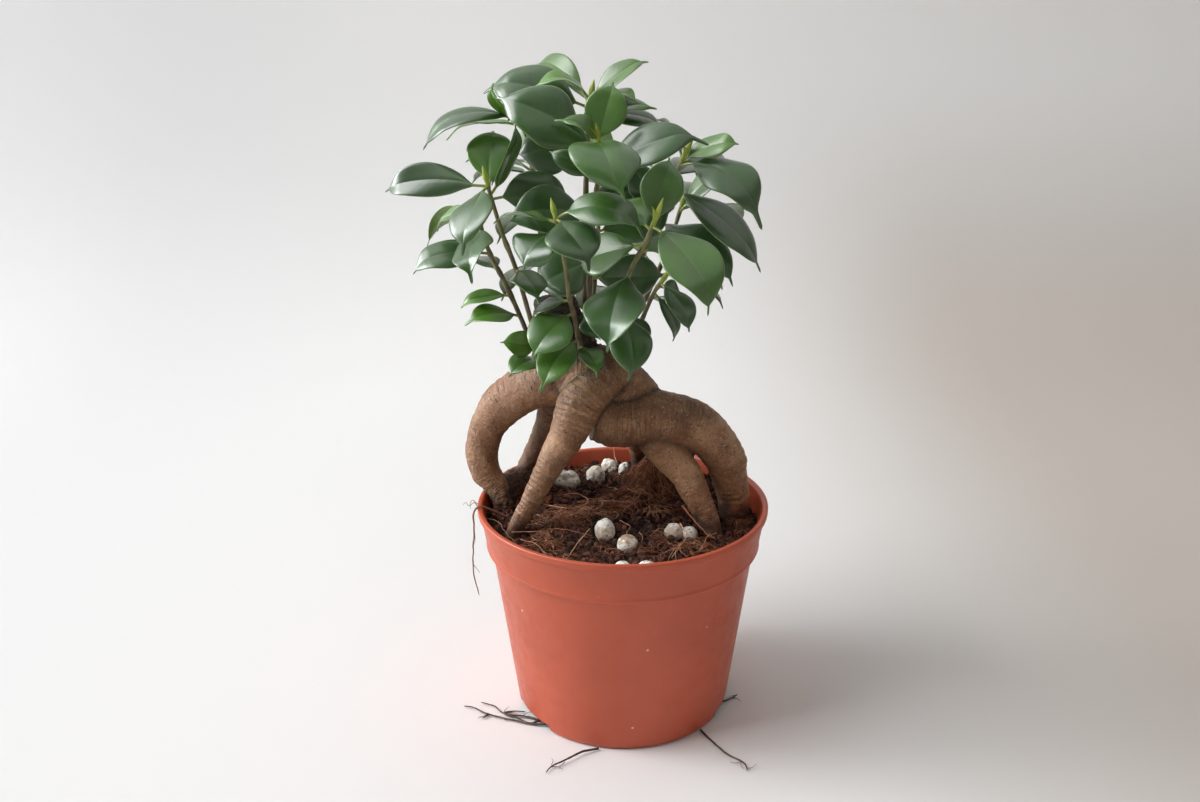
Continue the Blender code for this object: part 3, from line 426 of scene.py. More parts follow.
def shown_mesh(drawn):
    """The mesh that an object shows with its modifiers; the object is removed."""
    graph = bpy.context.evaluated_depsgraph_get()
    mesh = bpy.data.meshes.new_from_object(drawn.evaluated_get(graph))
    drop(drawn)
    return mesh


def face_outwards(bm):
    bmesh.ops.recalc_face_normals(bm, faces=bm.faces[:])


def rims(bm):
    """The open edges."""
    return [edge for edge in bm.edges if edge.is_boundary]


def ease(low, high, value):
    """0 below low, 1 above high, and a soft step between."""
    share = min(1.0, max(0.0, (value - low) / (high - low)))
    return share * share * (3 - 2 * share)


def held(share):
    return min(1.0, max(0.0, share))


# Routes that stems, roots and fibres follow


def smooth_path(points, steps):
    """Points on one smooth curve through the given ones, with steps of them to each stretch."""
    points = [Vector(point) for point in points]
    ends = [points[0] * 2 - points[1], *points, points[-1] * 2 - points[-2]]
    path = []
    for before, start, end, after in zip(ends, ends[1:], ends[2:], ends[3:]):
        for step in range(steps):
            t = step / steps
            curve = start * 2 + (end - before) * t
            curve += (before * 2 - start * 5 + end * 4 - after) * t ** 2
            curve += (start * 3 - before - end * 3 + after) * t ** 3
            path.append(curve / 2)
    path.append(points[-1])
    return path


def limb_path(points, steps):
    """The smooth run of a limb and its radii."""
    path = smooth_path([Vector(point) for point in points], steps)
    return [point.to_3d() for point in path], [point.w for point in path]


def limb_tube(points):
    """A limb as a closed round tube, as thick at each point as its radius says."""
    path, radii = limb_path(points, 6)
    curve = bpy.data.curves.new("limb", "CURVE")
    curve.dimensions = "3D"
    curve.bevel_depth = MM
    curve.bevel_resolution = 8
    curve.use_fill_caps = True
    spline = curve.splines.new("POLY")
    spline.points.add(len(path) - 1)
    for point, place, radius in zip(spline.points, path, radii):
        point.co = (*(place * MM), 1)
        point.radius = radius
    bm = pour(shown_mesh(put("limb", curve)), bmesh.new())
    bmesh.ops.remove_doubles(bm, verts=bm.verts[:], dist=1e-6)
    face_outwards(bm)
    return mesh_of("limb", bm)


def point_up(path, share):
    """The point at a share of the path's length, kept a little short of its end."""
    lengths = [(b - a).length for a, b in zip(path, path[1:])]
    left = min(share, LAST_LEAF_UP) * sum(lengths)
    for start, end, length in zip(path, path[1:], lengths):
        if left <= length:
            return start.lerp(end, left / length)
        left -= length
    return path[-1]


# Skins: a flat grid rolled into a tube, so that each vertex knows its place along and around


def skin(bm, rows, around, place, marks):
    """Adds a closed skin to the mesh. place gives each vertex its spot and its values for the marks."""
    for vert in bmesh.ops.create_grid(bm, x_segments=rows, y_segments=around, size=1)["verts"]:
        row = round((vert.co.x + 1) / 2 * rows)
        turn = round((vert.co.y + 1) / 2 * around) % around
        spot, values = place(row, turn)
        vert.co = spot * MM
        for layer, value in zip(marks, values):
            vert[layer] = value


def close_skins(bm):
    """Joins each skin's seam, fills its open ends and turns its faces outwards."""
    bmesh.ops.remove_doubles(bm, verts=bm.verts[:], dist=2e-7)
    bmesh.ops.dissolve_degenerate(bm, edges=bm.edges[:], dist=1e-7)
    if rims(bm):
        bmesh.ops.holes_fill(bm, edges=rims(bm), sides=0)
    face_outwards(bm)


def frames_along(path):
    """For each point of a path: the point, and two directions square to its run that don't twist."""
    frames = []
    flat = Vector((0.13, 0.97, 0.21))
    for i, spot in enumerate(path):
        run = (path[min(i + 1, len(path) - 1)] - path[max(i - 1, 0)]).normalized()
        flat = (flat - run * flat.dot(run)).normalized()
        frames.append((spot, flat, run.cross(flat)))
    return frames


def round_skin(bm, path, radii, around, layer, values):
    """A round skin along a path, closed at both ends, with a value in the layer at each point of the path."""
    frames = frames_along(path)
    last = len(path) - 1

    def place(row, turn):
        at = min(max(row - 1, 0), last)
        spot, flat, up = frames[at]
        radius = radii[at] if at == row - 1 else 0.0
        angle = math.tau * turn / around
        return spot + (flat * math.cos(angle) + up * math.sin(angle)) * radius, (values[at],)

    skin(bm, last + 2, around, place, [layer])


def start_strands(layer):
    """An empty mesh for a few strands or crumbs, and a layer for a value that each carries."""
    bm = bmesh.new()
    return bm, bm.verts.layers.float.new(layer)


def add_strands(total, bm):
    """Closes the strands or crumbs and moves them into the whole mesh."""
    close_skins(bm)
    pour(mesh_of("strands", bm), total)


# Finishes


class Finish:
    """A material in the making. Numbers that are the same all over are set on its shader."""

    def __init__(self, name, roughness, **plain):
        self.material = bpy.data.materials.new(name)
        self.material.use_nodes = True
        self.tree = self.material.node_tree
        self.shader = self.tree.nodes["Principled BSDF"]
        self.feed(self.shader, Roughness=roughness, **plain)

    def feed(self, node, **inputs):
        """Sets inputs, named or numbered as _0, to a number or colour, or wires an output to them."""
        for key, value in inputs.items():
            socket = node.inputs[int(key[1:]) if key[0] == "_" else key.replace("_", " ")]
            if isinstance(value, bpy.types.NodeSocket):
                self.tree.links.new(value, socket)
            else:
                socket.default_value = (*value, 1) if socket.type == "RGBA" else value

    def node(self, kind, settings=None, **inputs):
        made = self.tree.nodes.new("ShaderNode" + kind)
        for key, value in (settings or {}).items():
            setattr(made, key, value)
        self.feed(made, **inputs)
        return made

    def calc(self, operation, a, b=0.0, clamp=False):
        return self.node("Math", {"operation": operation, "use_clamp": clamp}, _0=a, _1=b).outputs[0]

    def times(self, a, b):
        return self.calc("MULTIPLY", a, b)

    def plus(self, a, b, clamp=False):
        return self.calc("ADD", a, b, clamp)

    def step(self, value, low, high, to_low=0.0, to_high=1.0):
        """The value moved from one range to another, held inside it, with a soft step."""
        limits = {"From_Min": low, "From_Max": high, "To_Min": to_low, "To_Max": to_high}
        made = self.node("MapRange", {"interpolation_type": "SMOOTHSTEP"}, Value=value, **limits)
        return made.outputs["Result"]

    def mixed(self, share, a, b, blend="MIX"):
        """Two colours mixed by a share."""
        settings = {"data_type": "RGBA", "blend_type": blend, "clamp_factor": True}
        return self.node("Mix", settings, _0=share, _6=a, _7=b).outputs[2]

    def cover(self, color, share, strength, over):
        """The colour with another over it, by a share times a strength."""
        return self.mixed(self.times(share, strength), color, over)

    def ramp(self, share, *stops):
        """Colours along a share, each stop a place and a colour."""
        made = self.node("ValToRGB", Fac=share)
        band = made.color_ramp
        while len(band.elements) < len(stops):
            band.elements.new(0.5)
        for element, (place, color) in zip(band.elements, stops):
            element.position = place
            element.color = (*color, 1)
        return made.outputs["Color"]

    def spots(self):
        """The piece's own place in metres."""
        return self.node("TexCoord").outputs["Object"]

    def grain(self, scale, detail=4.0, roughness=0.55, stretch=None):
        """Cloudy noise over the piece, as a share. The scale is how many patches fit in a metre."""
        place = self.spots()
        if stretch:
            place = self.node("Mapping", Vector=place, Scale=stretch).outputs[0]
        return self.node("TexNoise", Vector=place, Scale=scale, Detail=detail, Roughness=roughness).outputs[0]

    def patches(self, low, high, *grain):
        """Cloudy patches with soft edges."""
        return self.step(self.grain(*grain), low, high)

    def pores(self, scale, low, high):
        """Round spots about many scattered points."""
        made = self.node("TexVoronoi", Vector=self.spots(), Scale=scale, Randomness=1.0)
        return self.step(made.outputs["Distance"], low, high)

    def mark(self, name):
        """A value that the piece's mesh carries."""
        return self.node("Attribute", {"attribute_name": name, "attribute_type": "GEOMETRY"}).outputs["Fac"]

    def relief(self, *layers):
        """Fine relief as a normal, in layers of height, distance in millimetres and strength."""
        normal = None
        for height, distance, strength in layers:
            made = self.node("Bump", Height=height, Distance=distance * MM, Strength=strength)
            if normal:
                self.feed(made, Normal=normal)
            normal = made.outputs[0]
        return normal

    def wired(self, **outputs):
        """The material, with these outputs wired to its shader."""
        self.feed(self.shader, **outputs)
        return self.material


def pot_plastic():
    """Terracotta-coloured plastic: a soft sheen, cloudy colour, faint scuffs and a few pale specks."""
    made = Finish("terracotta_plastic", 0.42)
    cloud = made.grain(28, 3)
    color = made.ramp(cloud, (0.3, (0.48, 0.078, 0.031)), (0.7, (0.57, 0.101, 0.041)))
    scuffs = made.patches(0.60, 0.78, 300, 5, 0.6, (1, 1, 0.25))
    color = made.cover(color, scuffs, 0.14, (0.62, 0.23, 0.15))
    sparse = made.patches(0.52, 0.60, 60, 2)
    color = made.cover(color, made.pores(110, 0.075, 0.045), sparse, (0.72, 0.50, 0.38))
    rough = made.step(made.grain(160, 5, 0.65), 0.35, 0.7, 0.36, 0.52)
    relief = made.relief((made.grain(900, 3), 0.02, 0.5), (cloud, 0.25, 0.4))
    return made.wired(Base_Color=color, Roughness=rough, Normal=relief)


def soil_peat():
    """Damp peat and coir: painted shade near black in the hollows between crumbs, red-brown on the crumbs."""
    made = Finish("damp_peat", 0.93, Specular_IOR_Level=0.25)
    crumbs = made.grain(420, 6, 0.7)
    color = made.ramp(
        crumbs, (0.34, (0.016, 0.007, 0.006)), (0.46, (0.062, 0.026, 0.018)), (0.57, (0.160, 0.064, 0.044)),
        (0.72, (0.31, 0.140, 0.092)),
    )
    damp = made.patches(0.42, 0.62, 60, 3)
    color = made.cover(color, damp, 0.6, (0.018, 0.010, 0.008))
    # Painted shade in the gaps between clods and crumbs
    color = made.cover(color, made.mark("painted_gap_shade"), 0.82, (0.008, 0.005, 0.004))
    bark = made.ramp(crumbs, (0.35, (0.14, 0.045, 0.024)), (0.65, (0.36, 0.135, 0.070)))
    color = made.mixed(made.mark("chip"), color, bark)
    relief = made.relief((made.grain(2200, 5, 0.7), 0.35, 0.8), (crumbs, 1.2, 0.9))
    return made.wired(Base_Color=color, Normal=relief)


def root_bark():
    """Smooth tan-brown bark with dark pores, cross ridges, painted shade in the creases, soil dirt low down with
    painted shade under the arches and on the thin left prop, and a mossy old stub.
    """
    made = Finish("root_bark", 0.62)
    cloud = made.grain(55, 6, 0.65)
    color = made.ramp(
        cloud, (0.30, (0.176, 0.074, 0.031)), (0.47, (0.297, 0.141, 0.064)), (0.64, (0.478, 0.268, 0.137)),
    )
    rose = made.patches(0.5, 0.72, 30, 2, 0.5)
    weathered = made.patches(0.48, 0.62, 210, 5, 0.7)
    worn = made.patches(0.57, 0.68, 950, 4, 0.65)
    color = made.cover(color, rose, 0.45, (0.44, 0.205, 0.110))
    color = made.cover(color, weathered, 0.32, (0.17, 0.088, 0.047))
    color = made.cover(color, worn, 0.75, (0.62, 0.40, 0.22))
    # Soil dirt low down, and painted shade under the arches and on the thin left prop, in a dark peat colour
    dirt_and_painted_shade_share = made.mark("dirt_and_painted_shade")
    peat = made.ramp(made.grain(420, 5, 0.7), (0.36, (0.018, 0.009, 0.007)), (0.62, (0.105, 0.048, 0.030)))
    color = made.cover(color, dirt_and_painted_shade_share, 0.86, peat)
    wander = made.times(made.grain(90, 3), 9.0)
    ridge = made.calc("SINE", made.plus(made.times(made.mark("along"), math.tau / RIDGE_STEP), wander))
    ridge = made.times(made.plus(ridge, 1.0), 0.5)
    ridged = made.patches(0.36, 0.62, 38, 2)
    grooves = made.times(made.step(ridge, 0.35, 0.0), ridged)
    fleck = made.patches(0.57, 0.66, 800, 4, 0.7)
    pore = made.times(made.pores(640, 0.25, 0.13), made.patches(0.46, 0.60, 90, 3))
    color = made.cover(color, grooves, 0.42, (0.075, 0.042, 0.024))
    color = made.cover(color, fleck, 0.7, (0.05, 0.027, 0.016))
    color = made.cover(color, pore, 0.85, (0.035, 0.020, 0.013))
    # Painted shade in the creases where limbs meet
    color = made.cover(color, made.mark("painted_crease_shade"), 0.82, (0.030, 0.019, 0.013))
    stub = made.mark("stub")
    coarse = made.grain(330, 5, 0.7)
    old = made.ramp(
        coarse, (0.35, (0.016, 0.011, 0.008)), (0.55, (0.060, 0.040, 0.026)), (0.72, (0.13, 0.10, 0.07)),
    )
    moss = made.patches(0.52, 0.66, 140, 4)
    old = made.cover(old, moss, 0.5, (0.045, 0.060, 0.014))
    color = made.mixed(stub, color, old)
    satin = made.step(cloud, 0.3, 0.7, 0.62, 0.44)
    rough = made.plus(satin, made.times(dirt_and_painted_shade_share, 0.35))
    relief = made.relief(
        (made.grain(1500, 4, 0.7), 0.22, 0.8), (made.grain(520, 3, 0.6), 0.45, 0.8),
        (made.times(ridge, ridged), 0.30, 0.8), (made.calc("SUBTRACT", 1.0, pore), 0.25, 0.8),
        (made.times(coarse, stub), 1.0, 0.8),
    )
    return made.wired(Base_Color=color, Roughness=rough, Normal=relief)


def leaf_wax():
    """Waxy leaf: dark satin top, pale matt underside, hardly visible side veins and a thin pale margin."""
    made = Finish("waxy_leaf", 0.34, Specular_IOR_Level=0.4, Coat_Weight=1.0, Coat_Roughness=0.32)
    along, across, under, young, tint = (made.mark(name) for name in LEAF_MARKS)
    cloud = made.grain(80, 3, 0.5)
    old = made.ramp(cloud, (0.3, (0.018, 0.070, 0.009)), (0.7, (0.036, 0.120, 0.014)))
    fresh = made.ramp(cloud, (0.3, (0.090, 0.260, 0.008)), (0.7, (0.170, 0.400, 0.016)))
    top = made.mixed(young, old, fresh)
    top = made.cover(top, tint, 0.40, (0.035, 0.084, 0.030))
    darkness = made.calc("FRACT", made.times(tint, 7.3))
    top = made.cover(top, darkness, 0.45, (0.012, 0.034, 0.010))
    from_rib = made.calc("ABSOLUTE", across)
    bow = made.times(made.calc("POWER", from_rib, 1.35), 1.9)
    slant = made.calc("SUBTRACT", made.times(along, 12.0), bow)
    vein_wave = made.calc("SINE", made.times(slant, math.tau))
    vein = made.step(vein_wave, 0.80, 1.0)
    top = made.cover(top, vein, 0.07, (0.075, 0.17, 0.05))
    near_base = made.step(along, 0.5, STALK_SHARE, 0.0, 0.22)
    top = made.mixed(near_base, top, (0.075, 0.155, 0.035))
    bottom = made.mixed(young, (0.090, 0.165, 0.058), (0.17, 0.34, 0.055))
    bottom = made.cover(bottom, vein, 0.3, (0.15, 0.27, 0.09))
    color = made.mixed(under, top, bottom)
    rib = made.step(from_rib, 0.042, 0.012)
    rib_light = made.plus(made.times(young, 0.25), 0.12)
    rib_light = made.plus(rib_light, made.times(under, 0.35), clamp=True)
    color = made.cover(color, rib, rib_light, (0.15, 0.27, 0.07))
    margin = made.step(from_rib, 0.955, 0.99)
    color = made.cover(color, margin, 0.75, (0.26, 0.42, 0.12))
    stalk = made.step(along, STALK_SHARE + 0.03, STALK_SHARE - 0.02)
    color = made.mixed(stalk, color, made.mixed(young, (0.22, 0.27, 0.050), (0.42, 0.48, 0.065)))
    satin = made.step(cloud, 0.3, 0.7, 0.31, 0.41)
    rough = made.plus(satin, made.times(under, 0.2))
    fine, broad = made.grain(1300, 3), made.grain(150, 2)
    relief = made.relief((fine, 0.012, 0.5), (vein_wave, 0.012, 0.6), (broad, 0.35, 0.5))
    return made.wired(Base_Color=color, Roughness=rough, Normal=relief)


def stem_bark():
    """Stem bark: grey-brown at the foot, olive higher up, and a yellow-green bud at the tip."""
    made = Finish("stem_bark", 0.55)
    along = made.mark("along")
    streak = made.grain(420, 4, 0.6, (1, 1, 0.3))
    foot = made.ramp(streak, (0.35, (0.085, 0.058, 0.030)), (0.65, (0.215, 0.155, 0.085)))
    high = made.ramp(streak, (0.35, (0.120, 0.112, 0.038)), (0.65, (0.280, 0.260, 0.100)))
    bud = made.ramp(streak, (0.3, (0.27, 0.36, 0.035)), (0.7, (0.46, 0.55, 0.085)))
    color = made.mixed(made.step(along, 0.15, 0.85), foot, high)
    color = made.mixed(made.step(along, 0.93, 1.03), color, bud)
    scars = made.pores(900, 0.22, 0.1)
    color = made.cover(color, scars, 0.5, (0.045, 0.028, 0.016))
    return made.wired(Base_Color=color, Normal=made.relief((streak, 0.25, 0.6)))


def perlite_crust():
    """Off-white perlite with dark pits and brown stains from the soil."""
    made = Finish("perlite_crust", 0.86)
    cloud = made.grain(260, 5, 0.6)
    color = made.ramp(cloud, (0.3, (0.68, 0.61, 0.49)), (0.46, (0.88, 0.85, 0.77)), (0.7, (0.95, 0.94, 0.90)))
    stain = made.patches(0.43, 0.58, 150, 5, 0.7)
    color = made.cover(color, stain, made.mark("stained"), (0.34, 0.21, 0.105))
    pit = made.times(made.pores(680, 0.3, 0.14), made.patches(0.44, 0.54, 230, 2))
    color = made.cover(color, pit, 0.85, (0.075, 0.048, 0.030))
    relief = made.relief((made.grain(1600, 4, 0.7), 0.15, 0.7), (made.calc("SUBTRACT", 1.0, pit), 0.5, 0.9))
    return made.wired(Base_Color=color, Normal=relief)


def fibre_coir():
    """Thin fibres and rootlets, each with its own red-brown or straw tone."""
    made = Finish("coir_fibre", 0.7, Specular_IOR_Level=0.2)
    color = made.ramp(
        made.mark("tone"), (0.0, (0.055, 0.020, 0.012)), (0.35, (0.195, 0.064, 0.033)),
        (0.65, (0.43, 0.165, 0.085)), (1.0, (0.74, 0.47, 0.28)),
    )
    patch = made.patches(0.46, 0.64, 260, 3)
    color = made.cover(color, patch, 0.5, (0.085, 0.036, 0.018))
    return made.wired(Base_Color=color, Normal=made.relief((made.grain(1800, 3), 0.08, 0.6)))


def fine_root_skin():
    """Thin living roots: dark red-brown with lighter worn stretches."""
    made = Finish("fine_root_skin", 0.6)
    patch = made.grain(210, 4, 0.6)
    dark = made.ramp(
        patch, (0.35, (0.030, 0.017, 0.014)), (0.55, (0.075, 0.040, 0.030)), (0.75, (0.19, 0.10, 0.07)),
    )
    red = made.ramp(patch, (0.35, (0.16, 0.060, 0.035)), (0.7, (0.36, 0.165, 0.100)))
    color = made.mixed(made.mark("red"), dark, red)
    return made.wired(Base_Color=color, Normal=made.relief((made.grain(1600), 0.15, 0.7)))


def studio_paint():
    """Plain pale matt floor and wall with painted shade: darker at the foot of the wall, to the right of the pot
    and far to the left.
    """
    made = Finish("pale_studio_paint", 0.8)
    x, _, z = made.node("SeparateXYZ", Vector=made.spots()).outputs
    floor = made.ramp(made.grain(1.5, 2), (0.3, (0.79, 0.785, 0.78)), (0.7, (0.82, 0.815, 0.81)))
    # The wall's colour by height is painted shade: darker at the foot of the wall and lighter upwards
    wall = made.ramp(z, (0.0, (0.63, 0.63, 0.625)), (0.30, (0.90, 0.90, 0.895)))
    color = made.mixed(made.step(z, 0.0, 0.25), floor, wall)
    # Painted shadow to the right of the pot, and painted shade on the left and far left, multiplied into the
    # paint
    right = made.times(made.step(x, 0.03, 0.30), made.step(z, 0.24, 0.0))
    left, painted_shade_far_left = made.step(x, -0.08, -0.45), made.step(x, -0.50, -1.60)
    painted_shades = (right, (0.66, 0.60, 0.55)), (left, (0.84, 0.84, 0.85)), (painted_shade_far_left, (0.70, 0.70, 0.71))
    for share, shade in painted_shades:
        color = made.mixed(share, color, shade, "MULTIPLY")
    return made.wired(Base_Color=color)


# Pieces


def inner_radius(height):
    """The pot's inner radius at a height."""
    for (low_radius, low), (high_radius, high) in zip(POT_INSIDE, POT_INSIDE[1:]):
        if height <= high:
            return low_radius + (high_radius - low_radius) * (height - low) / (high - low)
    return POT_INSIDE[-1][0]


def rounded(points):
    """The outline with each inner corner, given as radius, height and rounding, turned into a short arc."""
    outline = []
    for i, (x, z, size) in enumerate(points):
        here = Vector((x, z))
        if not size:
            outline.append(here)
            continue
        before = Vector(points[i - 1][:2]) - here
        after = Vector(points[i + 1][:2]) - here
        start = here + before.normalized() * min(size, before.length * 0.45)
        end = here + after.normalized() * min(size, after.length * 0.45)
        for t in (0, 1 / 3, 2 / 3, 1):
            outline.append(start * (1 - t) ** 2 + here * 2 * t * (1 - t) + end * t ** 2)
    return outline


def make_pot(finish):
    """The turned pot with its rounded lip, stepped band and drain notches."""
    outline = rounded([
        (0, 0.0, 0), (POT_BASE_RADIUS - 3, 0, 0), (POT_BASE_RADIUS - 1.2, 0, 0.6),
        (POT_BASE_RADIUS + 0.1, 1.4, 0.9), (POT_STEP_RADIUS - 0.1, POT_STEP_HEIGHT - 0.6, 0.3),
        (POT_BAND_RADIUS - 0.1, POT_STEP_HEIGHT + 0.2, 0.5),
        (POT_BAND_RADIUS + 0.5, POT_STEP_HEIGHT + 1.1, 0.5),
        (POT_BAND_RADIUS + 0.2, POT_STEP_HEIGHT + 2.3, 0.7),
        (POT_RIM_RADIUS - 1.3, POT_HEIGHT - 3.6, 0.5), (POT_RIM_RADIUS - 0.1, POT_HEIGHT - 2.8, 0.5),
        (POT_RIM_RADIUS, POT_HEIGHT - 0.1, 0.7), (POT_RIM_RADIUS - POT_WALL - 0.5, POT_HEIGHT - 0.1, 0.6),
        *((radius, height, 0.5) for radius, height in reversed(POT_INSIDE)),
        (0, POT_FLOOR, 0),
    ])
    bm = bmesh.new()
    verts = [bm.verts.new((point.x * MM, 0, point.y * MM)) for point in outline]
    edges = [bm.edges.new(pair) for pair in zip(verts, verts[1:])]
    bmesh.ops.spin(
        bm, geom=verts + edges, axis=(0, 0, 1), cent=(0, 0, 0), angle=math.tau, steps=POT_SIDES,
        use_merge=True,
    )
    bmesh.ops.remove_doubles(bm, verts=bm.verts[:], dist=1e-6)
    face_outwards(bm)
    turned = put("turned_pot", mesh_of("turned_pot", bm))
    bm = bmesh.new()
    for bearing in NOTCH_BEARINGS:
        radial = POT_BASE_RADIUS + 5 - NOTCH_INNER_RADIUS
        shape = Matrix.Rotation(math.radians(bearing), 4, "Z")
        shape = shape @ Matrix.Translation(((NOTCH_INNER_RADIUS + radial / 2) * MM, 0, 0))
        shape = shape @ Matrix.Diagonal((radial * MM, NOTCH_WIDTH * MM, 2 * NOTCH_HEIGHT * MM, 1))
        bmesh.ops.create_cube(bm, size=1, matrix=shape)
    cutter = put("notches", mesh_of("notches", bm))
    cut = turned.modifiers.new("notches", "BOOLEAN")
    cut.operation = "DIFFERENCE"
    cut.object = cutter
    mesh = shown_mesh(turned)
    drop(cutter)
    show("nursery_pot", mesh, finish, "pot")
    mesh.set_sharp_from_angle(angle=POT_SHARP_ANGLE)


def soil_height(x, y):
    """The soil's surface, from its level and its mounds, with a fine unevenness."""
    height = SOIL_LEVEL
    for mound_x, mound_y, rise, spread in SOIL_MOUNDS:
        height += rise * math.exp(-((x - mound_x) ** 2 + (y - mound_y) ** 2) / spread ** 2)
    return height + SOIL_ROUGHNESS * noise.noise(Vector((x, y, 0)) / 9)


def crumb_relief(x, y):
    """How far the clods and crumbs stand over the plain soil, and how deep in a gap the place is, for painted
    shade in the gaps.
    """
    spot = Vector((x, y, 3.7))
    warped = spot + noise.noise_vector(spot / 3.1) * 1.6
    near, next_near = noise.voronoi(warped / 5.0)[0][:2]
    clod = ease(0.0, 0.34, next_near - near)
    near, next_near = noise.voronoi(warped / 1.9 + Vector((0, 0, 9)))[0][:2]
    crumb = ease(0.0, 0.40, next_near - near)
    rough = noise.noise(spot / 7) * 1.1 + noise.noise(spot / 0.95) * 0.4
    return 1.7 * clod + 0.8 * crumb + rough - 1.9, min(1.0, (1 - clod) * 0.8 + (1 - crumb) * 0.35)


def heap_height(x, y):
    """How high the fluffy coir heap stands over the soil there, with its lumps."""
    rise = HEAP_RISE * math.exp(-((x - HEAP_X) / HEAP_SPREAD_X) ** 2 - ((y - HEAP_Y) / HEAP_SPREAD_Y) ** 2)
    return rise * (1 + 0.7 * noise.noise(Vector((x, y, 2.0)) / 5.5))


def make_soil(finish):
    """The filled body of soil: a round crumbly top on a plain body that fills the pot."""
    bm = bmesh.new()
    bmesh.ops.create_grid(bm, x_segments=SOIL_CELLS, y_segments=SOIL_CELLS, size=1)
    painted_gap_shade = bm.verts.layers.float.new("painted_gap_shade")
    edge = inner_radius(SOIL_LEVEL) - SOIL_WALL_GAP
    for vert in bm.verts:
        u, v = vert.co.x, vert.co.y
        x = edge * u * math.sqrt(1 - v * v / 2)
        y = edge * v * math.sqrt(1 - u * u / 2)
        relief, vert[painted_gap_shade] = crumb_relief(x, y)
        vert.co = Vector((x, y, soil_height(x, y) + relief)) * MM
    for height in (SOIL_LEVEL - 5, POT_STEP_HEIGHT + 1.6, POT_STEP_HEIGHT - 0.6, POT_FLOOR + SOIL_FLOOR_GAP):
        lower = bmesh.ops.extrude_edge_only(bm, edges=rims(bm))["geom"]
        radius = inner_radius(height) - SOIL_WALL_GAP
        for vert in (part for part in lower if isinstance(part, bmesh.types.BMVert)):
            flat = Vector((vert.co.x, vert.co.y, 0)).normalized() * radius
            vert.co = Vector((flat.x, flat.y, height)) * MM
    bmesh.ops.holes_fill(bm, edges=rims(bm), sides=0)
    face_outwards(bm)
    show("potting_soil", mesh_of("potting_soil", bm), finish, "soil")


def limb_samples():
    """A search tree over points along every limb, with each point's limb, place along it and radius."""
    samples = []
    for limb, points in LIMBS.items():
        path, radii = limb_path(points, 8)
        run = 0.0
        for i, (spot, radius) in enumerate(zip(path, radii)):
            run += (spot - path[i - 1]).length if i else 0.0
            samples.append((spot, limb, run, radius))
    tree = KDTree(len(samples))
    for i, sample in enumerate(samples):
        tree.insert(sample[0], i)
    tree.balance()
    return tree, samples


def make_storage_roots(finish):
    """Crown, stub and stilt roots grown as one skin, with gentle lumps, wrinkles and creases marked for painted
    shade.
    """
    bm = bmesh.new()
    for points in LIMBS.values():
        pour(limb_tube(points), bm)
    grown = put("grown", mesh_of("grown", bm))
    remesh = grown.modifiers.new("grow_together", "REMESH")
    remesh.mode = "VOXEL"
    remesh.voxel_size = ROOT_VOXEL * MM
    blend = grown.modifiers.new("blend", "SMOOTH")
    blend.factor = 0.5
    blend.iterations = 9
    bm = pour(shown_mesh(grown), bmesh.new())
    along, painted_crease_shade, stub, dirt_and_painted_shade = (bm.verts.layers.float.new(name) for name in ROOT_MARKS)
    tree, samples = limb_samples()
    bm.normal_update()
    moved = []
    for vert in bm.verts:
        spot = vert.co / MM
        nearest = {}
        for _, i, distance in tree.find_n(spot, 26):
            _, limb, run, radius = samples[i]
            depth = distance - radius
            if limb not in nearest or depth < nearest[limb][0]:
                nearest[limb] = (depth, run, radius)
        order = sorted(nearest.items(), key=lambda item: item[1][0])
        limb, (depth, run, radius) = order[0]
        second = order[1][1][0] if len(order) > 1 else 9.0
        joint = (1 - ease(0.0, 2.6, second - depth)) * ease(-1.0, 0.8, depth)
        vert[along] = run
        vert[painted_crease_shade] = joint
        old = ease(147, 156, spot.z + 2.5 * noise.noise(spot / 5)) * ease(18, 12, (STUB_PLACE - spot.xy).length)
        debris = joint * ease(128, 138, spot.z) * ease(-0.3, 0.1, noise.noise(spot / 2.5))
        vert[stub] = old = max(old, 0.9 * debris)
        splash = soil_height(spot.x, spot.y) + 5.5 + 5 * noise.noise(spot / 4)
        splash += 6 if limb == "left mound" else 0
        # Painted shade on the undersides, most under the right arch, and on the thin left prop, which stands in
        # shade
        painted_shade_under_arch = ease(0.1, -0.8, vert.normal.z) * (0.5 if limb == "right arch" else 0.25)
        painted_prop_shade = 0.65 if limb == "thin left prop" else 0.0
        vert[dirt_and_painted_shade] = max(ease(splash + 5, splash - 2, spot.z), painted_shade_under_arch, painted_prop_shade)
        lumps = 0.9 * noise.noise(spot / 13) + 0.35 * noise.noise(spot / 5)
        ringed = 1.6 if limb == "right arch" else 1.0
        where = max(0.0, noise.noise(spot / 11 + Vector((5, 0, 0))) + 0.1)
        wrinkle = math.sin(run * math.tau / WRINKLE_STEP + 4 * noise.noise(spot / 8)) * where * ringed
        shift = lumps * min(1.0, radius / 8) + 0.30 * wrinkle - 0.5 * joint
        shift += old * (abs(noise.noise(spot / 1.9)) * 1.6 + noise.noise(spot / 0.9) * 0.5 - 0.3)
        shift += 0.14 * noise.noise(spot / 1.3) + 0.22 * noise.noise(spot / 2.6)
        clods = vert[dirt_and_painted_shade] * CLODS.get(limb, 0) * ease(100, 92, spot.z)
        shift += clods * (abs(noise.noise(spot / 2.0)) * 2.2 + abs(noise.noise(spot / 0.9)) * 0.7 - 0.4)
        moved.append(vert.co + vert.normal * shift * MM)
    for vert, place in zip(bm.verts, moved):
        vert.co = place
    skinned = mesh_of("storage_roots_and_stub", bm)
    show("storage_roots_and_stub", skinned, finish, "storage_roots")


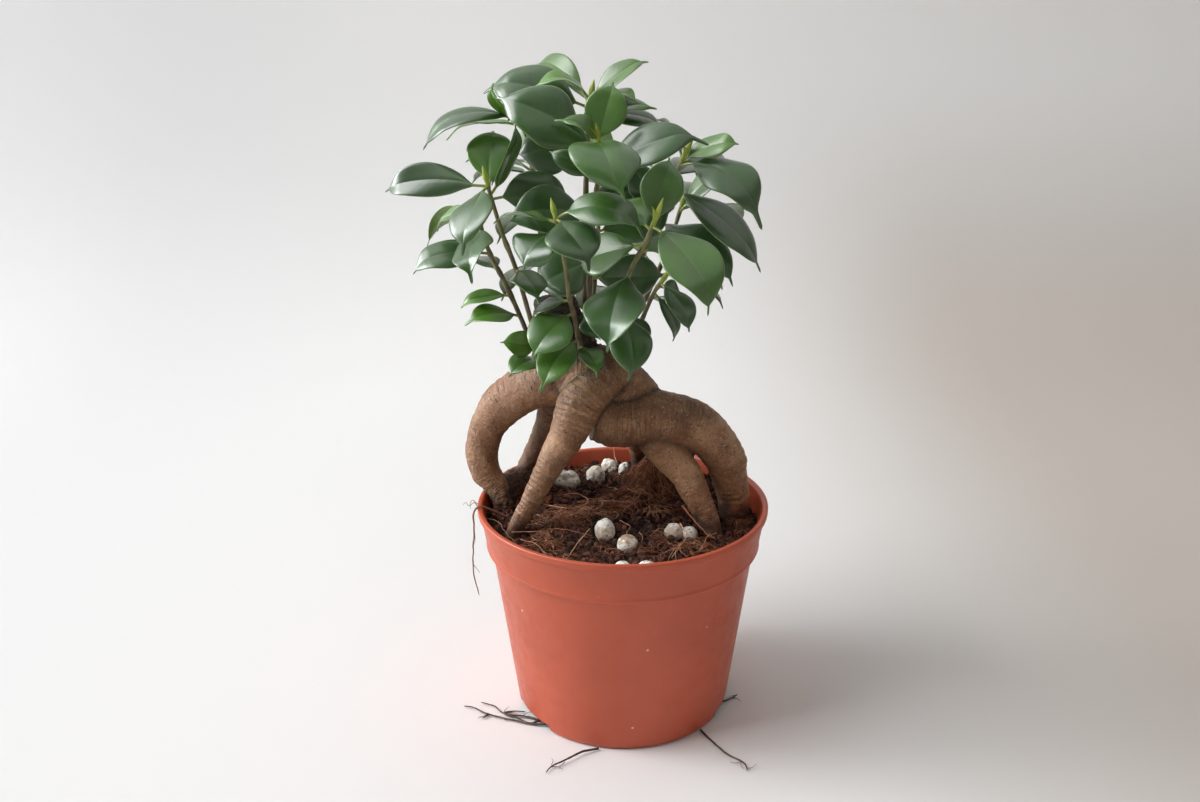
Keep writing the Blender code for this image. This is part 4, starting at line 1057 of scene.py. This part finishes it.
def half_width(t, width, beak):
    """Half the blade's width: a soft neck, a full oval and a blunt drip tip, more or less drawn out."""
    u = (t - STALK_SHARE) / (1 - STALK_SHARE)
    if u <= 0:
        return STALK_WIDTH / 2
    oval_end = 0.96 - 0.09 * beak
    fullness = 0.74 - 0.26 * u + 0.15 * ease(0.75, 1.0, u)
    oval = width / 2 * max(0.0, math.sin(math.pi * min(1.0, u / oval_end) ** 1.08)) ** fullness
    drip = (0.3 + 0.07 * beak * width) * ease(0.55, 0.85, u) * (1 - 0.5 * ease(0.80, 1.0, u))
    drip *= math.sqrt(max(0.0, 1 - max(0.0, (u - 0.965) / 0.035) ** 2))
    return math.hypot(oval, drip + STALK_WIDTH / 2 * (1 - ease(0, 0.12, u)))


def blade_stations():
    """Places along a leaf, closer together at the neck and at the drip tip."""
    stalk = [STALK_SHARE * i / 4 for i in range(4)]
    blade = [i / (BLADE_ROWS - 4) for i in range(BLADE_ROWS - 3)]
    return stalk + [STALK_SHARE + (1 - STALK_SHARE) * (u - 0.06 * math.sin(math.tau * u)) for u in blade]


def add_leaf(bm, base, leaf, move, young, chance, marks):
    """One fine leaf with its stalk: a flattened skin with a grooved rib, waved blade and thin margin."""
    forward, up, roll = move
    chord = Vector(leaf.tip) + Vector((0, forward, up)) - base
    length = chord.length
    run = chord.normalized()
    normal = Matrix.Rotation(math.radians(roll), 3, run) @ Vector(leaf.face)
    normal = (normal - run * normal.dot(run)).normalized()
    side = run.cross(normal)
    stations = blade_stations()
    rows = len(stations) - 1
    top = [-a for a in reversed(ACROSS[1:])] + list(ACROSS)
    ring = [(a, 1) for a in top] + [(a, -1) for a in reversed(top[1:-1])]
    wave_size = chance.uniform(0.55, 1.3) ** 2 * leaf.width / 18
    waves = chance.uniform(0.9, 1.9)
    phases = chance.uniform(0, math.tau), chance.uniform(0, math.tau)
    sway = chance.uniform(-0.05, 0.05) * length
    twist = chance.uniform(-0.2, 0.2)
    hook = chance.uniform(0.06, 0.13) * length
    side_hook = chance.choice((-1, 1)) * chance.uniform(0.02, 0.08) * length
    fold = (0.58 + 0.6 * young) * math.sin(LEAF_FOLD)
    curl = MARGIN_CURL * (1 - 0.8 * young) * chance.uniform(0.6, 1.3)
    tint = chance.random()
    beak = chance.uniform(0.15, 1.0)

    def place(row, turn):
        t = stations[row]
        a, face = ring[turn]
        bent = max(0.0, (t - 0.75) / 0.25)
        rise = (4 * leaf.arch * t * (1 - t) - LEAF_HOOK * bent ** 2) * length
        slope = 4 * leaf.arch * (1 - 2 * t) - LEAF_HOOK * bent * 8
        raised = (normal - chord / length * slope).normalized()
        half = half_width(t, leaf.width, beak)
        blade = ease(STALK_SHARE - 0.01, STALK_SHARE + 0.12, t)
        rise -= hook * ease(0.74, 1.06, t) ** 1.5
        lift = (math.sqrt(a * a + 0.04) - 0.2) * half * fold * blade
        lift -= curl * half * abs(a) ** 3.5 * blade
        wave = math.sin(math.tau * waves * t + phases[a > 0]) * wave_size * a * a * blade * ease(1.0, 0.85, t)
        flat = BLADE_HALF_THICKNESS + (MARGIN_HALF_THICKNESS - BLADE_HALF_THICKNESS) * abs(a) ** 3
        flat = 0 if abs(a) == 1 else flat * face
        rib = math.exp(-(a / 0.06) ** 2) * blade * ease(1.0, 0.7, t)
        flat -= rib * (RIB_GROOVE if face > 0 else RIB_RIDGE)
        stalk = STALK_WIDTH / 2 * face * math.sqrt(max(0.0, 1 - a * a))
        thick = stalk + (flat - stalk) * blade
        if row == rows:
            half, thick, lift = 0.02, thick * 0.05, 0.0
        spot = base + chord * t + normal * rise
        folded = math.cos(LEAF_FOLD) if blade else 1
        spot += side * (a * half * folded + sway * math.sin(math.pi * t) * blade)
        spot += side * side_hook * ease(0.80, 1.05, t) ** 1.5
        spot += raised * (lift + wave + thick + a * half * math.sin(twist * t) * blade)
        return spot, (t, a, 0.0 if face > 0 else 1.0, young, tint)

    skin(bm, rows, len(ring), place, marks)


def make_shoot(shoot, leaf_finish, wood_finish):
    """A leafy shoot as two pieces: its fine leaves, and its stem with leaf joints and a pointed bud."""
    chance = random.Random(shoot)
    leaves = [Leaf(*row) for row in LEAVES[shoot]]
    bm = bmesh.new()
    marks = [bm.verts.layers.float.new(name) for name in LEAF_MARKS]
    path = smooth_path(STEMS[shoot], 2)
    for number, leaf in enumerate(leaves):
        young = YOUNG[shoot].get(number, chance.uniform(0.0, 0.1))
        move = SETTLED.get(shoot, {}).get(number, (0, 0, 0))
        add_leaf(bm, point_up(path, leaf.up), leaf, move, young, chance, marks)
    close_skins(bm)
    show(f"{shoot}_leaves", mesh_of(f"{shoot}_leaves", bm), leaf_finish, shoot)
    bm, along = start_strands("along")
    run = smooth_path(STEMS[shoot], 7)
    last = len(run) - 1
    joints = [round(min(leaf.up, LAST_LEAF_UP) * last) for leaf in leaves]
    radii = []
    for i in range(last + 1):
        radius = STEM_FOOT_RADIUS + (STEM_TOP_RADIUS - STEM_FOOT_RADIUS) * i / last
        swell = max(0.28 * math.exp(-((i - joint) / 1.1) ** 2) for joint in joints)
        radii.append(radius * STEM_SLIMMER + swell + 0.10 * noise.noise(run[i] / 3))
    tip = (run[-1] - run[-2]).normalized()
    bend = Vector((chance.uniform(-1, 1), chance.uniform(-1, 1), 0)) * 0.5
    shares = [i / last for i in range(last + 1)]
    length = LONG_BUDS.get(shoot, BUD_LENGTH)
    for share, radius in BUD_PROFILE:
        run.append(path[-1] + tip * length * share + bend * share ** 2)
        radii.append(radius * STEM_TOP_RADIUS)
        shares.append(1 + share)
    round_skin(bm, run, radii, 12, along, shares)
    if shoot in LONG_BUDS:
        lean = Vector((-0.42, -0.25, 0))
        scale = [path[-1] + (tip + lean * share) * length * 0.72 * share for share, _ in BUD_PROFILE]
        radii = [radius * STEM_TOP_RADIUS * 0.7 for _, radius in BUD_PROFILE]
        round_skin(bm, scale, radii, 10, along, [1.5] * len(scale))
    close_skins(bm)
    show(f"{shoot}_wood", mesh_of(f"{shoot}_wood", bm), wood_finish, shoot)


def make_perlite(finish):
    """The white lumps, each with its own dented, popped shape."""
    for number, (x, y, half_x, half_y, half_z, popped, brown) in enumerate(PERLITE):
        bm, stained = start_strands("stained")
        bmesh.ops.create_icosphere(bm, subdivisions=5, radius=1)
        shift = Vector((number * 3.1, 0, 0))
        middle = Vector((x, y, soil_height(x, y) + half_z * (1 - 2 * PERLITE_SUNK)))
        for vert in bm.verts:
            way = vert.co.copy()
            uneven = 1 + 0.08 * noise.noise(way * 1.4 + shift) + 0.02 * noise.noise(way * 9 + shift)
            uneven += popped * (0.22 - 0.62 * noise.voronoi(way * 1.4 + shift)[0][0] ** 2)
            uneven -= 0.05 * ease(0.30, 0.08, noise.voronoi(way * 3.6 + shift)[0][0])
            vert[stained] = brown
            vert.co = (middle + way * Vector((half_x, half_y, half_z)) * uneven) * MM
        name = f"perlite_lump_{number + 1:02d}"
        show(name, mesh_of(name, bm), finish, f"perlite_{number + 1:02d}")


def make_fine_roots(finish):
    """Thin wandering roots out of the notches and over the rim, with side rootlets."""
    chance = random.Random(7)
    for name, strands in FINE_ROOTS.items():
        bm, red = start_strands("red")
        hangs = name == "rim_root"
        tone = 0.9 if hangs else 0.0
        for strand in strands:
            path = smooth_path(strand, 7)
            last = len(path) - 1
            radii = []
            for i, spot in enumerate(path):
                wander = noise.noise_vector(spot / 4.5) * 0.5 * math.sin(math.pi * i / last)
                spot.x += wander.x
                spot.y += wander.y
                radii.append(FINE_ROOT_RADIUS * (1 - 0.55 * i / last) * (1 + 0.22 * noise.noise(spot / 1.7)))
                if not hangs:
                    spot.z = max(spot.z, radii[-1] + 0.12)
            radii[-1] *= 0.35
            round_skin(bm, path, radii, 9, red, [tone] * len(path))
            for _ in range(3 if last > 10 else 0):
                spot = path[chance.randrange(last // 3, last)].copy()
                run = []
                heading = Vector((chance.uniform(-1, 1), chance.uniform(-1, 1), 0)).normalized()
                if hangs:
                    heading = Vector((chance.uniform(-0.4, 0.4), chance.uniform(-0.6, 0.6), -1)).normalized()
                for _ in range(7):
                    run.append(spot.copy())
                    spot = spot + heading * 0.9
                    heading = Matrix.Rotation(chance.uniform(-0.5, 0.5), 3, "Z") @ heading
                if not hangs:
                    for point in run:
                        point.z = max(0.2, min(point.z, 0.8))
                radii = [0.16 * (1 - 0.1 * i) for i in range(len(run))]
                round_skin(bm, run, radii, 6, red, [tone] * len(run))
        close_skins(bm)
        show(f"{name}_strands", mesh_of(f"{name}_strands", bm), finish, name)


def lies_free(x, y, margin):
    """True where nothing but soil is there: away from the lumps and the wall."""
    if math.hypot(x, y) > inner_radius(SOIL_LEVEL) - 1.5 - margin:
        return False
    return all(math.hypot((x - a) / b, (y - c) / d) > 1 + margin / 4 for a, c, b, d, *_ in PERLITE)


def add_fibre(bm, tone, spot, heading, curl, stride, level, width, shade, chance):
    """One thin fibre that wanders over the soil or the heap at a level, tapering to its end."""
    run = []
    lift = chance.uniform(0.2, 1.4)
    for step in range(FIBRE_STEPS + 1):
        if not lies_free(spot.x, spot.y, 0):
            break
        arch = math.sin(math.pi * step / FIBRE_STEPS) * lift
        ground = soil_height(spot.x, spot.y) + heap_height(spot.x, spot.y)
        run.append(Vector((spot.x, spot.y, ground + level + arch + chance.uniform(-0.12, 0.12))))
        heading += curl + chance.uniform(-0.3, 0.3)
        spot = spot + Vector((math.cos(heading), math.sin(heading), 0)) * stride
    if len(run) >= 4:
        round_skin(bm, run, tapered(width, run), 3, tone, [shade] * len(run))


def tapered(width, run):
    """Radii along a fibre or rootlet that thins towards its end."""
    return [width * (1 - 0.6 * i / (len(run) - 1)) for i in range(len(run))]


def somewhere(chance):
    """A random place on the soil, as x and y."""
    reach = LITTER_REACH * math.sqrt(chance.random())
    bearing = chance.uniform(0, math.tau)
    return reach * math.cos(bearing), reach * math.sin(bearing)


def make_coir(finish):
    """Loose coir: tufts of fibres that run together, single fibres between them and a few rootlets."""
    chance = random.Random(21)
    total = bmesh.new()
    for x, y, spread_x, spread_y, tufts, high, bearing, pale in COIR_TUFTS:
        for _ in range(tufts):
            bm, tone = start_strands("tone")
            middle = Vector((chance.gauss(x, spread_x / 1.5), chance.gauss(y, spread_y / 1.5), 0))
            way = math.radians(chance.gauss(bearing, 55))
            curl = chance.gauss(0, 0.22)
            level = chance.uniform(0.1, high)
            shade = chance.gauss(pale, 0.12)
            for _ in range(chance.randrange(9, 18)):
                spot = middle + Vector((chance.gauss(0, 1.6), chance.gauss(0, 1.6), 0))
                heading = way + chance.gauss(0, 0.5)
                stride = chance.uniform(0.6, 1.8)
                width = 0.08 + 0.16 * chance.random() ** 2
                tuned = held(shade + chance.gauss(0, 0.16))
                bent = curl + chance.gauss(0, 0.16)
                high_up = level * chance.random()
                add_fibre(bm, tone, spot, heading, bent, stride, high_up, width, tuned, chance)
            add_strands(total, bm)
    for _ in range(FIBRE_GROUPS):
        bm, tone = start_strands("tone")
        for _ in range(FIBRES_IN_GROUP):
            spot = Vector((*somewhere(chance), 0))
            shade = held(chance.gauss(0.42, 0.24))
            add_fibre(
                bm, tone, spot, chance.uniform(0, math.tau), chance.gauss(0, 0.28), chance.uniform(0.5, 1.8),
                chance.uniform(0.0, 1.2), chance.uniform(0.06, 0.14), shade, chance,
            )
        add_strands(total, bm)
    for shade, radius, strand in ROOTLETS:
        bm, tone = start_strands("tone")
        path = smooth_path(strand, 6)
        for spot in path[1:-1]:
            spot += noise.noise_vector(spot / 2.5) * 0.35
        round_skin(bm, path, tapered(radius, path), 7, tone, [shade] * len(path))
        add_strands(total, bm)
    show("coir_fibres", mesh_of("coir_fibres", total), finish, "soil")


def make_heap(finish):
    """The dark crumbly core of the coir heap, a low dome that sinks into the soil."""
    bm, painted_gap_shade = start_strands("painted_gap_shade")
    bmesh.ops.create_icosphere(bm, subdivisions=6, radius=1)
    for vert in bm.verts:
        way = vert.co.copy()
        x = HEAP_X + way.x * HEAP_SPREAD_X * HEAP_CORE_SIZE
        y = HEAP_Y + way.y * HEAP_SPREAD_Y * HEAP_CORE_SIZE
        relief, vert[painted_gap_shade] = crumb_relief(x + 40 + way.z * 3, y)
        level = heap_height(x, y) * 0.9 - 0.4 + relief * 0.9 if way.z > 0 else -2.5
        vert.co = Vector((x, y, soil_height(x, y) + level)) * MM
    face_outwards(bm)
    show("coir_heap_core", mesh_of("coir_heap_core", bm), finish, "soil")


def make_crumbs(finish):
    """Loose crumbs of peat over the soil, with chips of red bark among them."""
    chance = random.Random(5)
    total = bmesh.new()
    for _ in range(CRUMB_GROUPS):
        bm, chip = start_strands("chip")
        for _ in range(CRUMBS_IN_GROUP):
            x, y = somewhere(chance)
            size = 0.4 + 1.8 * chance.random() ** 3
            tilt = Vector((chance.uniform(-0.5, 0.5), chance.uniform(-0.5, 0.5), 1)).normalized()
            turned = Matrix.Rotation(chance.uniform(0, math.tau), 4, tilt)
            width, height = chance.uniform(0.5, 0.9), chance.uniform(0.35, 0.7)
            red = 1.0 if chance.random() < RED_CHIP_SHARE else 0.0
            if not lies_free(x, y, 0.6):
                continue
            ground = soil_height(x, y) + max(crumb_relief(x, y)[0], heap_height(x, y))
            place = Matrix.Translation(Vector((x, y, ground + size * 0.2)) * MM)
            flat = Matrix.Diagonal((size * MM, size * width * MM, size * height * (1 - 0.4 * red) * MM, 1))
            faces = 2 if size > 0.9 else 1
            shape = place @ turned @ flat
            for vert in bmesh.ops.create_icosphere(bm, subdivisions=faces, radius=1, matrix=shape)["verts"]:
                vert.co += noise.noise_vector(vert.co / MM / 0.9) * 0.32 * size * MM
                vert[chip] = red
        add_strands(total, bm)
    show("peat_crumbs", mesh_of("peat_crumbs", total), finish, "soil")


# Room, light and camera


def set_studio(paint):
    """A pale floor that sweeps up into a pale wall."""
    bm = bmesh.new()
    bmesh.ops.create_grid(bm, x_segments=1, y_segments=2, size=1)
    for vert in bm.verts:
        depth = (-1600, 650, 650)[round(vert.co.y + 1)]
        height = 1800 if vert.co.y > 0.5 else -0.1
        vert.co = Vector((vert.co.x * 2500, depth, height)) * MM
    corner = [
        edge for edge in bm.edges
        if not edge.is_boundary and abs(edge.verts[0].co.y - edge.verts[1].co.y) < 1e-6
    ]
    bmesh.ops.bevel(bm, geom=corner, offset=0.28, segments=14, profile=0.5, affect="EDGES", material=-1)
    face_outwards(bm)
    backdrop = put("studio_sweep", mesh_of("studio_sweep", bm))
    backdrop.data.materials.append(paint)
    backdrop.data.shade_smooth()


def soft_light(name, place, aim, size, power, color, gloss_only=False):
    """A large soft square of light that faces a point and doesn't show itself; it may serve gloss alone."""
    light = bpy.data.lights.new(name, "AREA")
    light.size = size * MM
    light.energy = power
    light.color = color
    panel = put(name, light)
    panel.location = Vector(place) * MM
    panel.rotation_euler = (Vector(aim) - Vector(place)).to_track_quat("-Z", "Y").to_euler()
    panel.visible_camera = False
    panel.visible_diffuse = not gloss_only


def set_light():
    """Soft window light from the left and a little behind, some from above, and warm light all round."""
    world = bpy.data.worlds.new("soft_room")
    bpy.context.scene.world = world
    world.use_nodes = True
    sky = world.node_tree.nodes["Background"]
    sky.inputs["Color"].default_value = (1.0, 0.95, 0.905, 1)
    sky.inputs["Strength"].default_value = 0.29
    soft_light("window_light", (-2400, 460, 950), (200, -300, 60), 1500, 52.0, (0.94, 0.98, 1.0))
    soft_light("high_window_light", (-1600, -350, 2000), (0, 0, 130), 1450, 46.0, (0.98, 0.99, 1.0))
    soft_light("ceiling_gloss", (900, -200, 2200), (0, 0, 150), 2600, 13.0, (0.93, 1.0, 0.92), True)
    soft_light("window_gloss", (-800, 350, 2100), (0, 0, 180), 1400, 10.0, (0.97, 1.0, 0.98), True)
    soft_light("side_gloss", (-2400, 300, 1000), (0, 0, 150), 1500, 72.0, (0.97, 1.0, 1.0), True)
    bpy.context.scene.view_settings.view_transform = "Standard"


def set_camera():
    camera = bpy.data.cameras.new("photo_camera")
    camera.lens = CAMERA_LENS
    camera.sensor_width = CAMERA_SENSOR
    camera.clip_start = 0.01
    holder = put("photo_camera", camera)
    turn = Matrix.Rotation(math.radians(CAMERA_TO_LEFT), 4, "Z")
    turn = turn @ Matrix.Rotation(math.radians(90 - CAMERA_DOWN), 4, "X")
    turn = turn @ Matrix.Rotation(math.radians(CAMERA_ROLL), 4, "Z")
    holder.matrix_world = Matrix.Translation(Vector(CAMERA_PLACE) * MM) @ turn
    bpy.context.scene.camera = holder


def main():
    noise.seed_set(NOISE_SEED)
    set_camera()
    set_studio(studio_paint())
    set_light()
    make_pot(pot_plastic())
    peat = soil_peat()
    make_soil(peat)
    make_storage_roots(root_bark())
    leaf_finish, wood_finish = leaf_wax(), stem_bark()
    for shoot in STEMS:
        make_shoot(shoot, leaf_finish, wood_finish)
    make_perlite(perlite_crust())
    make_fine_roots(fine_root_skin())
    make_coir(fibre_coir())
    make_heap(peat)
    make_crumbs(peat)


main()
